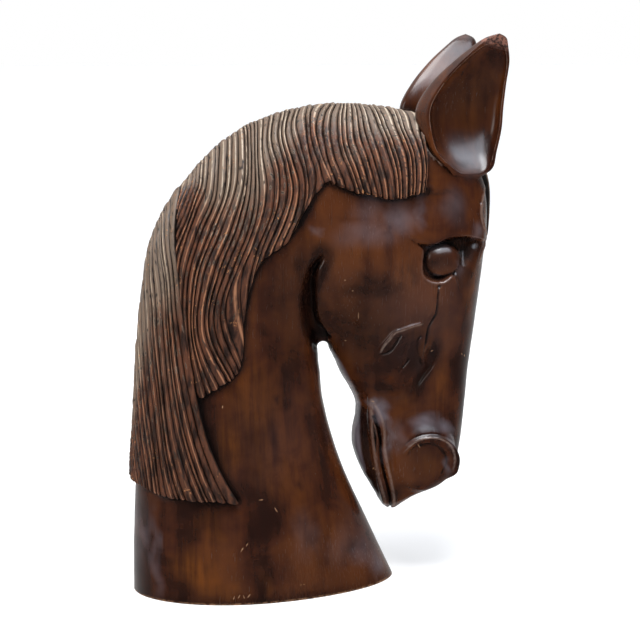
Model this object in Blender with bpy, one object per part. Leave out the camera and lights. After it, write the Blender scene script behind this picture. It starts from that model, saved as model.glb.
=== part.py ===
"""Carved wooden horse head: one block of wood, cut flat under the neck.

Run it in Blender. Metres, +Z up. The horse faces +X, and Y = 0 is its middle plane. The
origin is the middle of the flat underside. Sizes below are in millimetres.
"""

import math

import bmesh
import bpy
import numpy as np
from mathutils import Vector

MM = 0.001
HEAD_NAME = "horse_head"

# The block is drawn as stations that fan round the throat, from the foot of the neck over
# the poll and down the face to the lips. Each is a straight cut across the middle plane:
# its outer end x, z (mane, forehead, nose), its inner end x, z (chest, jaw, chin) and the
# half width of the block there. The first row only steers the curve into the underside.
STATIONS = (
    (-114, -50, 132, -50, 62),
    (-114, 0, 108, 0, 60),
    (-113, 50, 85, 50, 55),
    (-110.5, 100, 62.5, 101, 51),
    (-106, 160, 48, 150, 47),
    (-100.5, 228, 44.5, 181, 44),
    (-89, 293, 44.5, 193, 42),
    (-60, 342, 45.5, 197, 41),
    (-19, 378, 47, 199, 40),
    (32, 395, 49, 198, 40),
    (80, 396.5, 52, 194, 41),
    (124, 389, 56, 188, 43),
    (157, 376, 60, 181, 44),
    (177, 345, 63, 176, 45),
    (182.5, 310, 66, 171, 46),
    (181, 270, 71, 163, 43),
    (177.5, 226, 75, 152, 37),
    (172.5, 184, 75, 140, 32),
    (169.5, 146, 73, 127, 30),
    (166, 114, 73.5, 113, 30),
    (160, 89, 79, 95, 28),
    (146, 77, 87, 78, 23),
    (126, 69, 95, 65, 17),
    (112, 59, 102, 58, 8),
)
FOOT, POLL, BROW, LIPS = 1, 10, 14, 23  # rows of the table
WIDEST = (0.45, 0.4)  # where a cut is widest, as a share from its outer end: neck, face
BLOCK_STEP = 2.4  # spacing of the first, fine mesh of the block
BLOCK_FACES = 6000  # triangles the block is thinned to before the rest is joined to it
HEAD_FACES = 9400  # and the whole head afterwards
SAW_CUT = 12  # waste left under the neck, which the last cut takes off flat
SAMPLES = 4000  # points of a curve when it is measured or searched

# Side views of the carving, as x, z. Below its edge the brow is cut back by a depth that
# changes along it. Up to the end of the eye the cut stops at the lower lid, and past the eye
# it runs out downwards.
BROW_EDGE = ((104, 296), (112, 293), (120, 289), (128, 287.5), (136, 289), (145, 292.5),
             (156, 293), (166, 292), (175, 290), (182, 287))
BROW_DEPTH = (0, 1.5, 4, 5, 5, 6, 7.5, 7.5, 4.5, 0)
BROW_STEP = (-1.8, 2.4)  # drop below the edge over which the cut gets to its full depth
BROW_RUN_OUT = (12, 44)
EYE_END = (141, 149)
BROW_SWELL = 1.6  # the brow itself stands out, between these x, and fades upwards
BROW_SWELL_X = (100, 125, 172, 180)
BROW_SWELL_FADE = 34
LID_WALL = 0.8
LOWER_LID = ((120.5, 276), (121.5, 268), (127, 260), (136, 257), (142.5, 261), (145, 266))
TEAR_LINE = ((134, 250), (134.5, 234), (130, 223), (125.5, 212.5), (123, 205))
CHEEK_CREST = ((121, 222.5), (110, 219), (99, 215.5), (91, 206), (85, 199))
CHEEK_CREASE = ((104, 215), (97, 206), (93, 201.5), (86, 199.5))
CHEEK_EDGE = ((142, 213), (137, 200), (132, 188), (124, 174), (116, 158), (112, 146))
THROAT = ((39, 286), (33, 274), (28.5, 260), (28, 241), (31, 222), (37, 209), (46, 199))
MOUTH = ((86, 145), (89, 132), (91.5, 118), (95, 100), (99, 82), (104, 62), (106, 54))
LIP_HEIGHT = 1.6  # each lip stands out beside the mouth, between these distances from it
LIP_EDGES = (0, 3, 4, 9)
MOUTH_DEPTH = 2.4
MOUTH_WIDTH = 2.6
NOSTRIL_RIM = ((107, 115), (113, 119.5), (123, 123), (133, 124.5), (143, 121), (150, 113),
               (152.5, 103), (151, 92))
RIM_HEIGHT = 1.4
RIM_WIDTH = 4
NOSTRIL = (134, 102, 15.5, 18)  # centre x, z and half width and height of its floor
NOSTRIL_DEPTH = 4.5
# Lines left standing, or cut if below 0: path, height, half width, share that each end fades.
LINES = (
    (LOWER_LID, 1.6, 2.6, 0.2),
    (TEAR_LINE, -1.2, 2.2, 0.2),
    (CHEEK_CREST, 1.4, 4, 0.2),
    (CHEEK_CREASE, -1, 2.4, 0.2),
    (CHEEK_EDGE, -3.4, 13, 0.2),
    (THROAT, -6.5, 13, 0.4),
)
# Soft swellings, or hollows if below 0: centre x, z, reach in x and z, height.
SWELLINGS = (
    (84, 236, 52, 46, 3.5),
    (100, 172, 24, 22, -2.6),
    (98, 128, 26, 22, 3),
    (134, 112, 30, 30, 3.2),
)

EYE = (138, 275.5, 36.5)  # centre x, z and distance from the middle plane
EYE_SIZE = (15.5, 10.5, 13.5)

# The mane is two locks that hang down on both sides. Each row is one strand: where it leaves
# the crest and where its tip lies, both as x, z in side view, and two powers: how soon it
# goes round the neck (the smaller the sooner) and how late it turns down along the neck. The
# strands between are filled in.
FRONT_LOCK = (
    (128, 384, 122, 332, 0.6, 1),
    (98, 392, 101, 326.5, 0.6, 1),
    (63, 396, 69, 330, 0.6, 1),
    (45, 397, 45, 342, 0.6, 1.2),
    (36, 396, 35, 333, 0.6, 2),
    (22, 393, 11, 296, 0.55, 2.5),
    (8, 389, -13, 277, 0.55, 1.8),
    (1, 386, -25.5, 238, 0.5, 1.6),
    (-4, 384, -29, 196, 0.42, 1.4),
    (-19, 378, -46, 180, 0.36, 1.2),
    (-36, 366, -64, 172, 0.34, 1.1),
    (-48, 354, -78, 206, 0.36, 1),
    (-60, 342, -82, 256, 0.42, 1),
    (-70, 330, -84, 290, 0.6, 1),
    (-77, 318, -84, 303, 0.7, 1),
)
BACK_LOCK = (
    (-67, 333, -33, 84, 0.47, 1),
    (-78, 316, -48, 86, 0.5, 1),
    (-84, 304, -64, 87, 0.55, 1),
    (-92, 282, -82, 88.5, 0.65, 1),
    (-101, 223, -96, 91, 0.75, 1),
    (-107, 160, -105, 95, 0.8, 1),
    (-110, 108, -110.5, 97, 0.8, 1),
)
STRAND = 6.4  # spacing of the strands where they are widest apart
STRAND_DEPTH = 1.3  # of the grooves between them
STRAND_STEPS = 16
STEPS_BUNCH = 1.6  # the steps are shorter near the crest, where a strand bends most
LOCK_HEIGHT = 4.2  # above the block
LOCK_SUNK = 4  # below it, inside the wood
BACK_LOCK_LIFT = 1.6  # the back lock lies over the front one

# The forelock lies on the forehead between the ears.
FORELOCK = (10.6, 14.8)  # first and last station
FORELOCK_WIDTH = 0.1  # half width, as a share of the way round the block
FORELOCK_TIP = 0.25  # width left at its tip
FORELOCK_STRANDS = 7
FORELOCK_STEPS = 8

# Each ear is a leaf that stands up from the head, open to the side: height, middle x, half
# width, how far its open side is from the middle plane, and how far its back bulges towards
# the other ear.
EAR_ROWS = (
    (312, 156, 0, 26, 0),
    (327, 157, 6, 31, 12),
    (340, 159, 11, 36, 18),
    (349, 161, 19, 41.5, 20),
    (362, 157, 27, 40, 20),
    (380, 157, 32, 37, 19.5),
    (398, 157.5, 33, 36.5, 21),
    (417, 163.5, 28.5, 37.5, 18.5),
    (434, 171.5, 21.5, 40.5, 13.5),
    (447, 177.5, 13, 43, 9.5),
    (453.5, 180.5, 7.5, 44.5, 6),
    (457, 181.5, 0, 45.5, 0),
)
EAR_SQUARE = 0.2  # the rear edge of the back is square, the smaller the squarer
EAR_BACK = 0.25  # how much wider the back is there than the open side
EAR_TURN = 0.12  # slope of the open side seen from above: it looks a little forward
EAR_SWELL = 1.2  # how much the open side is rounded before it is hollowed
# The hollow of the ear: height, middle x, half width, place of the rim and depth.
HOLLOW_ROWS = (
    (344, 162, 6, 41.5, 0),
    (349, 161, 15, 41.5, 5),
    (362, 157, 24, 40, 12),
    (380, 157, 29, 37, 15),
    (398, 157.5, 30, 36.5, 15),
    (417, 163.5, 25.5, 37.5, 12),
    (434, 171.5, 18.5, 40.5, 8),
    (446, 177, 9.5, 43, 4),
    (450, 178.5, 0, 43.8, 0),
)
EAR_REACH = 9  # how far the hollowing cutter stands out of the ear


def spline(rows, at):
    """Smooth curve through rows of numbers, at positions counted in rows."""
    rows = np.asarray(rows, float)
    at = np.clip(np.asarray(at, float), 0, len(rows) - 1)
    i = np.minimum(at.astype(int), len(rows) - 2)
    u = (at - i)[..., None]
    a, b = rows[np.maximum(i - 1, 0)], rows[i]
    c, d = rows[i + 1], rows[np.minimum(i + 2, len(rows) - 1)]
    return 0.5 * (2 * b + (c - a) * u + (2 * a - 5 * b + 4 * c - d) * u**2
                  + (3 * b - a - 3 * c + d) * u**3)


def ramp(low, high, value):
    """0 below low, 1 above high, smooth between."""
    share = np.clip((value - low) / (high - low), 0, 1)
    return share * share * (3 - 2 * share)


def near(x, z, path):
    """Distance from points to a path in side view, share along it, and which side."""
    line = spline(path, np.linspace(0, len(path) - 1, 6 * len(path)))
    best = np.full(x.shape, 1e9)
    along = np.zeros(x.shape)
    side = np.zeros(x.shape)
    for k, (start, end) in enumerate(zip(line[:-1], line[1:])):
        dx, dz = end - start
        ax, az = x - start[0], z - start[1]
        u = np.clip((ax * dx + az * dz) / (dx * dx + dz * dz), 0, 1)
        gap = np.hypot(ax - u * dx, az - u * dz)
        closer = gap < best
        best = np.where(closer, gap, best)
        along = np.where(closer, (k + u) / (len(line) - 1), along)
        side = np.where(closer, np.sign(dx * az - dz * ax), side)
    return best, along, side


def line_shape(x, z, path, width, fade):
    """A line along a path: 1 in its middle, 0 at its edges and its ends."""
    gap, along, _ = near(x, z, path)
    return (1 - ramp(0, width, gap)) * ramp(0, fade, np.minimum(along, 1 - along))


def mound(x, z, centre_x, centre_z, reach_x, reach_z):
    """A soft round swelling: 1 in its middle, 0 at its edge."""
    far = ((x - centre_x) / reach_x) ** 2 + ((z - centre_z) / reach_z) ** 2
    return np.clip(1 - far, 0, 1) ** 2


def block(s, q):
    """Points on the plain block. q runs from -1 to 1 round the cut at station s, from the
    inner line round one side to the outer line at 0, and back round the other side."""
    s, q = np.broadcast_arrays(np.asarray(s, float), np.asarray(q, float))
    q = (q + 1) % 2 - 1
    xo, zo, xi, zi, half_width = np.moveaxis(spline(STATIONS, s), -1, 0)
    face = ramp(POLL - 2, BROW, s) * (1 - ramp(LIPS - 4, LIPS, s))
    widest = WIDEST[0] + (WIDEST[1] - WIDEST[0]) * face
    across = (1 - np.cos(np.pi * np.abs(q))) / 2
    outer = across < widest
    run = np.where(outer, (widest - across) / widest, (across - widest) / (1 - widest))
    forehead = ramp(POLL, BROW - 2, s) * (1 - ramp(BROW - 1, BROW + 2, s))
    taper = np.where(outer, 2 + 0.3 * face + 0.6 * forehead, 1.8 - 0.1 * face)
    blunt = np.where(outer, 2 + 0.4 * face + 1.8 * forehead, 2 + 0.8 * face)
    y = half_width * np.maximum(1 - run**taper, 0) ** (1 / blunt)
    return np.stack([xo + (xi - xo) * across, np.sign(q) * y, zo + (zi - zo) * across], -1)


def outward(s, q):
    """Unit vectors that point out of the block."""
    step = 0.004
    along = block(np.asarray(s) + step * 4, q) - block(np.asarray(s) - step * 4, q)
    round_it = block(s, np.asarray(q) + step) - block(s, np.asarray(q) - step)
    normal = np.cross(along, round_it)
    normal /= np.maximum(np.linalg.norm(normal, axis=-1, keepdims=True), 1e-9)
    return normal


def locate(x, z):
    """Station and q of a point given in side view."""
    s = np.linspace(0, len(STATIONS) - 1, SAMPLES)
    xo, zo, xi, zi, _ = spline(STATIONS, s).T
    length = np.hypot(xi - xo, zi - zo)
    across = ((x - xo) * (xi - xo) + (z - zo) * (zi - zo)) / length**2
    held = np.clip(across, 0, 1)
    gap = np.hypot(x - xo - held * (xi - xo), z - zo - held * (zi - zo))
    best = np.argmin(gap)
    return s[best], np.arccos(1 - 2 * held[best]) / np.pi


def brow(x, z):
    """Height of the brow and of the hollow of the eye under it."""
    drop = np.interp(x, *np.transpose(BROW_EDGE)) - z
    depth = np.interp(x, np.transpose(BROW_EDGE)[0], BROW_DEPTH, left=0, right=0)
    lid_gap, _, lid_side = near(x, z, LOWER_LID)
    in_lid = ramp(-LID_WALL, LID_WALL, lid_gap * lid_side)
    beyond_eye = ramp(*EYE_END, x)
    hollow = in_lid * (1 - beyond_eye) + beyond_eye * (1 - ramp(*BROW_RUN_OUT, drop))
    swell = ramp(*BROW_SWELL_X[:2], x) * (1 - ramp(*BROW_SWELL_X[2:], x))
    swell *= (1 - ramp(0, BROW_SWELL_FADE, -drop)) * ramp(-BROW_SWELL_FADE, 0, -drop)
    return BROW_SWELL * swell - depth * ramp(*BROW_STEP, drop) * hollow


def relief(x, z):
    """How far the carving of the face stands out of the block, or is cut into it."""
    height = brow(x, z)
    for path, rise, width, fade in LINES:
        height += rise * line_shape(x, z, path, width, fade)
    for *place, rise in SWELLINGS:
        height += rise * mound(x, z, *place)
    rim_gap, rim_along, _ = near(x, z, NOSTRIL_RIM)
    height += RIM_HEIGHT * (1 - ramp(0, RIM_WIDTH, rim_gap)) * ramp(0, 0.2, rim_along)
    centre_x, centre_z, half_width, half_height = NOSTRIL
    floor = 1 - ((x - centre_x) / half_width) ** 2 - ((z - centre_z) / half_height) ** 2
    height -= NOSTRIL_DEPTH * ramp(0, 0.5, floor)
    mouth_gap, mouth_along, _ = near(x, z, MOUTH)
    lips = ramp(*LIP_EDGES[:2], mouth_gap) - ramp(*LIP_EDGES[2:], mouth_gap)
    height += LIP_HEIGHT * lips * ramp(0, 0.1, mouth_along)
    height -= MOUTH_DEPTH * (1 - ramp(0, MOUTH_WIDTH, mouth_gap)) * ramp(0, 0.15, mouth_along)
    return height


def carved(s, q):
    """Points on the block with the face carved."""
    plain = block(s, q)
    return plain + outward(s, q) * relief(plain[..., 0], plain[..., 2])[..., None]


def add_object(name, bm, collection):
    mesh = bpy.data.meshes.new(name)
    bm.to_mesh(mesh)
    bm.free()
    obj = bpy.data.objects.new(name, mesh)
    collection.objects.link(obj)
    return obj


def face_outwards(bm):
    if bm.calc_volume(signed=True) < 0:
        bmesh.ops.reverse_faces(bm, faces=bm.faces)


def grid_of(points, thick=False):
    """A grid laid on a table of points in millimetres. A thick one is a closed slab, and its
    table holds two layers, the lower one first."""
    layers = points if thick else points[None]
    rows, columns = layers.shape[1:3]
    bm = bmesh.new()
    bmesh.ops.create_grid(bm, x_segments=columns - 1, y_segments=rows - 1, size=1)
    if thick:
        raised = bmesh.ops.extrude_face_region(bm, geom=bm.faces[:], use_keep_orig=True)
        top = [part for part in raised["geom"] if isinstance(part, bmesh.types.BMVert)]
        bmesh.ops.translate(bm, verts=top, vec=(0, 0, 1))
        bmesh.ops.recalc_face_normals(bm, faces=bm.faces)
    for vert in bm.verts:
        row = round((vert.co.y + 1) / 2 * (rows - 1))
        column = round((vert.co.x + 1) / 2 * (columns - 1))
        vert.co = layers[round(vert.co.z), row, column] * MM
    return bm


def make_block(collection):
    below = STATIONS[FOOT][1] - STATIONS[0][1]
    fine = np.linspace(FOOT - SAW_CUT / below, LIPS, SAMPLES)
    outer = spline(STATIONS, fine)[:, :2]
    run = np.concatenate([[0], np.cumsum(np.hypot(*np.diff(outer, axis=0).T))])
    s = np.interp(np.arange(0, run[-1], BLOCK_STEP), run, fine)
    s = np.append(s, LIPS)
    q = np.linspace(-1, 1, 2 * round(180 / BLOCK_STEP) + 1)
    bm = grid_of(carved(s[:, None], q[None, :]))
    bmesh.ops.remove_doubles(bm, verts=bm.verts, dist=0.02 * MM)
    bmesh.ops.holes_fill(bm, edges=bm.edges, sides=0)
    bmesh.ops.recalc_face_normals(bm, faces=bm.faces)
    face_outwards(bm)
    obj = add_object(HEAD_NAME, bm, collection)
    thin_to(obj, BLOCK_FACES)
    return obj


def make_saw(collection):
    """The slice of waste under the neck."""
    bm = bmesh.new()
    bmesh.ops.create_cube(bm, size=1)
    bmesh.ops.scale(bm, verts=bm.verts, vec=Vector((400, 200, 2 * SAW_CUT)) * MM)
    bmesh.ops.translate(bm, verts=bm.verts, vec=(0, 0, -SAW_CUT * MM))
    return add_object("saw_cut", bm, collection)


def thin_to(obj, faces):
    """Thins the object, as its modifiers leave it, to about this many triangles."""
    graph = bpy.context.evaluated_depsgraph_get()
    mesh = obj.evaluated_get(graph).to_mesh()
    mesh.calc_loop_triangles()
    ratio = faces / len(mesh.loop_triangles)
    obj.evaluated_get(graph).to_mesh_clear()
    thin = obj.modifiers.new("facets", "DECIMATE")
    thin.ratio = min(ratio, 1)


def make_lock(name, rows, lift, collection):
    """A lock of the mane, over the crest and down both sides, ribbed with strands."""
    guides = [[locate(*row[:2])[0], *locate(*row[2:4]), *row[4:]] for row in rows]
    v = np.linspace(-1, 1, STRAND_STEPS + 1)[None, :]
    v = np.sign(v) * np.abs(v) ** STEPS_BUNCH

    def strands(place):
        root_s, tip_s, tip_q, sweep, fall = spline(guides, place).T[:, :, None]
        s = root_s + (tip_s - root_s) * np.abs(v) ** fall
        return s, tip_q * np.sign(v) * np.abs(v) ** sweep

    finer = np.linspace(0, len(rows) - 1, 6 * len(rows))
    points = block(*strands(finer))
    lies = np.gradient(points, axis=1)
    lies /= np.maximum(np.linalg.norm(lies, axis=-1, keepdims=True), 1e-9)
    apart = np.cross(points[1:] - points[:-1], lies[:-1])
    apart = np.linalg.norm(apart, axis=-1).max(1)
    width = np.concatenate([[0], np.cumsum(apart)])
    count = round(width[-1] / STRAND)
    place = np.interp(np.linspace(0, width[-1], 2 * count + 1), width, finer)
    rib = np.where(np.arange(2 * count + 1) % 2, 0, -STRAND_DEPTH)[:, None]
    return make_sheet(name, *strands(place), LOCK_HEIGHT + lift + rib, collection)


def make_forelock(collection):
    u = np.linspace(0, 1, FORELOCK_STEPS + 1)[:, None]
    side = np.linspace(-1, 1, 2 * FORELOCK_STRANDS + 1)[None, :]
    side = np.sign(side) * side**2
    s = FORELOCK[0] + (FORELOCK[1] - FORELOCK[0]) * u * (1 - 0.1 * np.abs(side))
    q = FORELOCK_WIDTH * side * (1 - (1 - FORELOCK_TIP) * ramp(0.3, 1, u))
    rib = np.where(np.arange(2 * FORELOCK_STRANDS + 1) % 2, 0, -STRAND_DEPTH)[None, :]
    return make_sheet("forelock", s, q, LOCK_HEIGHT + rib, collection)


def make_sheet(name, s, q, height, collection):
    """A slab laid on the block: its outer face stands at the given height above it, and its
    inner face is sunk below."""
    s, q, height = np.broadcast_arrays(s, q, height)
    ground, out = block(s, q), outward(s, q)
    layers = [ground - out * LOCK_SUNK, ground + out * height[..., None]]
    bm = grid_of(np.stack(layers), thick=True)
    face_outwards(bm)
    return add_object(name, bm, collection)


def make_ear_form(name, side, rows, back, swell, collection):
    """A leaf-shaped form standing up from the head, laid through the rows. From its open
    side it bulges inwards by the last column and outwards by the given swell. The rear edge
    of its back may be square, and wider than the open side."""
    square, wider = back
    bm = bmesh.new()
    bmesh.ops.create_uvsphere(bm, u_segments=20, v_segments=18, radius=1)
    for vert in bm.verts:
        x, y, z = vert.co
        ring = math.hypot(x, y)
        share = math.asin(max(-1, min(1, z))) / math.pi + 0.5
        height, middle, half_width, rim, bulge = spline(rows, share * (len(rows) - 1))
        across, deep = (x / ring, y / ring) if ring > 0.01 else (0, 0)
        if across < 0 and deep > 0:
            across = -(-across) ** square * (1 + wider * deep)
        reach = max(half_width, 0) * across
        depth = bulge * deep**0.8 if deep > 0 else swell * deep
        x = middle + reach - EAR_TURN * depth
        y = side * (rim - EAR_TURN * reach - depth)
        vert.co = Vector((x, y, height)) * MM
    face_outwards(bm)
    return add_object(name, bm, collection)


def make_eye(name, side, collection):
    bm = bmesh.new()
    bmesh.ops.create_uvsphere(bm, u_segments=16, v_segments=8, radius=MM)
    bmesh.ops.scale(bm, verts=bm.verts, vec=EYE_SIZE)
    centre = Vector((EYE[0], side * EYE[2], EYE[1])) * MM
    bmesh.ops.translate(bm, verts=bm.verts, vec=centre)
    return add_object(name, bm, collection)


def wood(name, colour, roughness):
    material = bpy.data.materials.new(name)
    material.use_nodes = True
    shader = material.node_tree.nodes["Principled BSDF"]
    shader.inputs["Base Color"].default_value = (*colour, 1)
    shader.inputs["Roughness"].default_value = roughness
    shader.inputs["Metallic"].default_value = 0
    return material


def main():
    for obj in list(bpy.data.objects):
        bpy.data.objects.remove(obj, do_unlink=True)
    head_parts = bpy.data.collections.new("Horse head")
    carving = bpy.data.collections.new("Carving")
    for collection in (head_parts, carving):
        bpy.context.scene.collection.children.link(collection)
    head = make_block(head_parts)
    head.data.materials.append(wood("stained wood", (0.09, 0.035, 0.018), 0.3))
    added = [
        make_lock("front_lock", FRONT_LOCK, 0, carving),
        make_lock("back_lock", BACK_LOCK, BACK_LOCK_LIFT, carving),
        make_forelock(carving),
    ]
    for side, which in ((-1, "right"), (1, "left")):
        added.append(make_eye(which + "_eye", side, carving))
        ear_back = (EAR_SQUARE, EAR_BACK)
        ear = make_ear_form(which + "_ear", side, EAR_ROWS, ear_back, EAR_SWELL, carving)
        added.append(ear)
    for obj in added:
        combine(head, obj, "UNION")
    for side, which in ((-1, "right"), (1, "left")):
        scoop = make_ear_form(which + "_ear_scoop", side, HOLLOW_ROWS, (1, 0), EAR_REACH, carving)
        combine(head, scoop, "DIFFERENCE")
    thin_to(head, HEAD_FACES)
    combine(head, make_saw(carving), "DIFFERENCE")


def combine(head, obj, operation):
    obj.hide_render = True
    obj.display_type = "WIRE"
    boolean = head.modifiers.new(obj.name, "BOOLEAN")
    boolean.operation = operation
    boolean.object = obj


main()
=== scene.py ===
# Horse head carved from one block of wood, stained dark and varnished.
# It is dressed round the imported frame. The shapes and the painted patches of tone, shade and
# sheen are given in millimetres. The meshes, the looks of the materials, the lights and the
# camera are in metres.
# The horse looks along +X, its right side is at -Y, and it stands on the cut of its neck.
import math

import bmesh
import bpy
import numpy as np
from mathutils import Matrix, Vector


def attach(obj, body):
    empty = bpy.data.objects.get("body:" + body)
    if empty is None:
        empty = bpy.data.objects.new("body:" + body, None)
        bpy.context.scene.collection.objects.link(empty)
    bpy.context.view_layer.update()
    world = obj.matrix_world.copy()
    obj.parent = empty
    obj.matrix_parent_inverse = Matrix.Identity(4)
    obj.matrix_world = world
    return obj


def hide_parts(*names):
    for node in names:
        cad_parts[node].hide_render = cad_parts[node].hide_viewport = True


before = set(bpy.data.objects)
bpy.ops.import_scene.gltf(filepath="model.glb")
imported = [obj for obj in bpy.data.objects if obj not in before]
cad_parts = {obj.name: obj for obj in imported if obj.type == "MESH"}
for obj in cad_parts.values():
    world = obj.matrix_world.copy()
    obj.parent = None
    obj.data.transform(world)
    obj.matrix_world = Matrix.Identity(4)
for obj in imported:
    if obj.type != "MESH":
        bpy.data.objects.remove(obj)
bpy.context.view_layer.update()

mm = 0.001
headNode = "horse_head"


# Small maths

def bridge(a, b, c, d, u):
    # smooth step from b to c that also heeds the points before and after
    return 0.5 * (2 * b + (c - a) * u + (2 * a - 5 * b + 4 * c - d) * u**2
                  + (3 * b - a - 3 * c + d) * u**3)


def spline(rows, at):
    # smooth curve through rows of numbers, at positions counted in rows
    rows = np.asarray(rows, float)
    at = np.clip(np.asarray(at, float), 0, len(rows) - 1)
    i = np.minimum(at.astype(int), len(rows) - 2)
    before, after = np.maximum(i - 1, 0), np.minimum(i + 2, len(rows) - 1)
    return bridge(rows[before], rows[i], rows[i + 1], rows[after], (at - i)[..., None])


def ramp(low, high, value):
    share = np.clip((value - low) / (high - low), 0, 1)
    return share * share * (3 - 2 * share)


def near(x, z, path, reach=30):
    # distance to a path in side view, share along it, and which side of it; points further
    # outside the box round the path than reach are left far away
    line = spline(path, np.linspace(0, len(path) - 1, 5 * len(path)))
    best = np.full(x.shape, 1e9)
    along = np.zeros(x.shape)
    side = np.ones(x.shape)
    low, high = line.min(0) - reach, line.max(0) + reach
    close = (x > low[0]) & (x < high[0]) & (z > low[1]) & (z < high[1])
    px, pz = x[close], z[close]
    bestHere, alongHere, sideHere = best[close], along[close], side[close]
    for k, (start, end) in enumerate(zip(line[:-1], line[1:])):
        dx, dz = end - start
        ax, az = px - start[0], pz - start[1]
        u = np.clip((ax * dx + az * dz) / (dx * dx + dz * dz), 0, 1)
        gap = np.hypot(ax - u * dx, az - u * dz)
        closer = gap < bestHere
        bestHere = np.where(closer, gap, bestHere)
        alongHere = np.where(closer, (k + u) / (len(line) - 1), alongHere)
        sideHere = np.where(closer, np.sign(dx * az - dz * ax), sideHere)
    best[close], along[close], side[close] = bestHere, alongHere, sideHere
    return best, along, side


def within(x, z, outline):
    # distance inwards from a closed outline, below 0 outside it
    ring = np.array(outline + outline[:1], float)
    gap = np.full(x.shape, 1e9)
    crossings = np.zeros(x.shape, int)
    for (startX, startZ), (endX, endZ) in zip(ring[:-1], ring[1:]):
        dx, dz = endX - startX, endZ - startZ
        ax, az = x - startX, z - startZ
        u = np.clip((ax * dx + az * dz) / (dx * dx + dz * dz), 0, 1)
        gap = np.minimum(gap, np.hypot(ax - u * dx, az - u * dz))
        if dz:
            crossings += ((startZ > z) != (endZ > z)) & (ax < dx * az / dz)
    return np.where(crossings % 2 == 1, gap, -gap)


def lineShape(x, z, path, width, fade):
    gap, along, _ = near(x, z, path)
    return (1 - ramp(0.25 * width, 1.15 * width, gap)) * ramp(0, fade, np.minimum(along, 1 - along))


def stepShape(x, z, path, depths, left, right):
    # a cut that is deepest on its path and runs out to each side over its own width
    gap, along, side = near(x, z, path)
    places = np.linspace(0, 1, len(depths))
    depth, leftWidth, rightWidth = [np.interp(along, places, row) for row in (depths, left, right)]
    return depth * (1 - ramp(0, 1, gap / np.where(side > 0, leftWidth, rightWidth)))


def mound(x, z, centreX, centreZ, reachX, reachZ):
    far = ((x - centreX) / reachX) ** 2 + ((z - centreZ) / reachZ) ** 2
    return np.clip(1 - far, 0, 1) ** 2


def waves(place, seed, count=5):
    # smooth wandering between about -1 and 1, the same every run
    draw = np.random.default_rng(seed)
    total = np.zeros_like(np.asarray(place, float))
    for pitch, phase in zip(draw.uniform(0.6, 2.6, count), draw.uniform(0, 2 * math.pi, count)):
        total += np.sin(place * pitch + phase)
    return total / math.sqrt(2 * count)


# The block the head is carved from

# Cuts that fan round the throat from the foot of the neck, over the poll and down the face to
# the lips: outer end x, z (mane, forehead, nose), inner end x, z (chest, jaw, chin), half width.
blockShape = {
    "stations": (
        (-114, -50, 132, -50, 62),
        (-114, 0, 108, 0, 60),
        (-113, 50, 85, 50, 55),
        (-110.5, 100, 62.5, 101, 51),
        (-106, 160, 48, 150, 47),
        (-100.5, 228, 44.5, 181, 44),
        (-89, 293, 44.5, 193, 42),
        (-60, 342, 45.5, 197, 41),
        (-19, 378, 47, 199, 40),
        (32, 395, 49, 198, 40),
        (80, 396.5, 52, 194, 41),
        (124, 389, 56, 188, 43),
        (157, 376, 60, 181, 44),
        (177, 345, 63, 176, 45),
        (182.5, 310, 66, 171, 46),
        (181, 270, 71, 163, 43),
        (177.5, 226, 75, 152, 37),
        (172.5, 184, 75, 140, 32),
        (169.5, 146, 73, 127, 30),
        (166, 114, 73.5, 113, 30),
        (160, 89, 79, 95, 28),
        (146, 77, 87, 78, 23),
        (126, 69, 95, 65, 17),
        (112, 59, 102, 58, 8),
    ),
    "foot": 1, "poll": 10, "brow": 14, "lips": 23,
    "widestNeck": 0.45, "widestFace": 0.4,
    # spacing of the mesh along the outer line, up to the poll, up to the face and on it
    "neckStep": 3.6, "pollStep": 1.8, "faceStep": 0.75, "faceFrom": 13.3,
    "across": 520,  # faces of the mesh round a cut
    "waste": 6,  # extra wood under the neck, sawn off flat
    "scraped": 0.2,  # depth of the scraper's facets
    "triangles": 160000,  # left of the block, before the eyes and ears are joined on
}
samples = 4000  # fine steps along all the stations


def block(s, q):
    # q runs from -1 to 1 round the cut at station s, from the inner line over the outer line at 0
    shape = blockShape
    s, q = np.broadcast_arrays(np.asarray(s, float), np.asarray(q, float))
    q = (q + 1) % 2 - 1
    xo, zo, xi, zi, halfWidth = np.moveaxis(spline(shape["stations"], s), -1, 0)
    poll, brow, lips = shape["poll"], shape["brow"], shape["lips"]
    face = ramp(poll - 2, brow, s) * (1 - ramp(lips - 4, lips, s))
    widest = shape["widestNeck"] + (shape["widestFace"] - shape["widestNeck"]) * face
    across = (1 - np.cos(np.pi * np.abs(q))) / 2
    outer = across < widest
    run = np.where(outer, (widest - across) / widest, (across - widest) / (1 - widest))
    forehead = ramp(poll, brow - 2, s) * (1 - ramp(brow - 1, brow + 2, s))
    taper = np.where(outer, 2 + 0.3 * face + 0.6 * forehead, 1.8 - 0.1 * face)
    blunt = np.where(outer, 2 + 0.4 * face + 1.8 * forehead, 2 + 0.8 * face)
    y = halfWidth * np.maximum(1 - run**taper, 0) ** (1 / blunt)
    return np.stack([xo + (xi - xo) * across, np.sign(q) * y, zo + (zi - zo) * across], -1)


def outward(s, q):
    step = 0.004
    along = block(np.asarray(s) + step * 4, q) - block(np.asarray(s) - step * 4, q)
    roundIt = block(s, np.asarray(q) + step) - block(s, np.asarray(q) - step)
    normal = np.cross(along, roundIt)
    return normal / np.maximum(np.linalg.norm(normal, axis=-1, keepdims=True), 1e-9)


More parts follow.
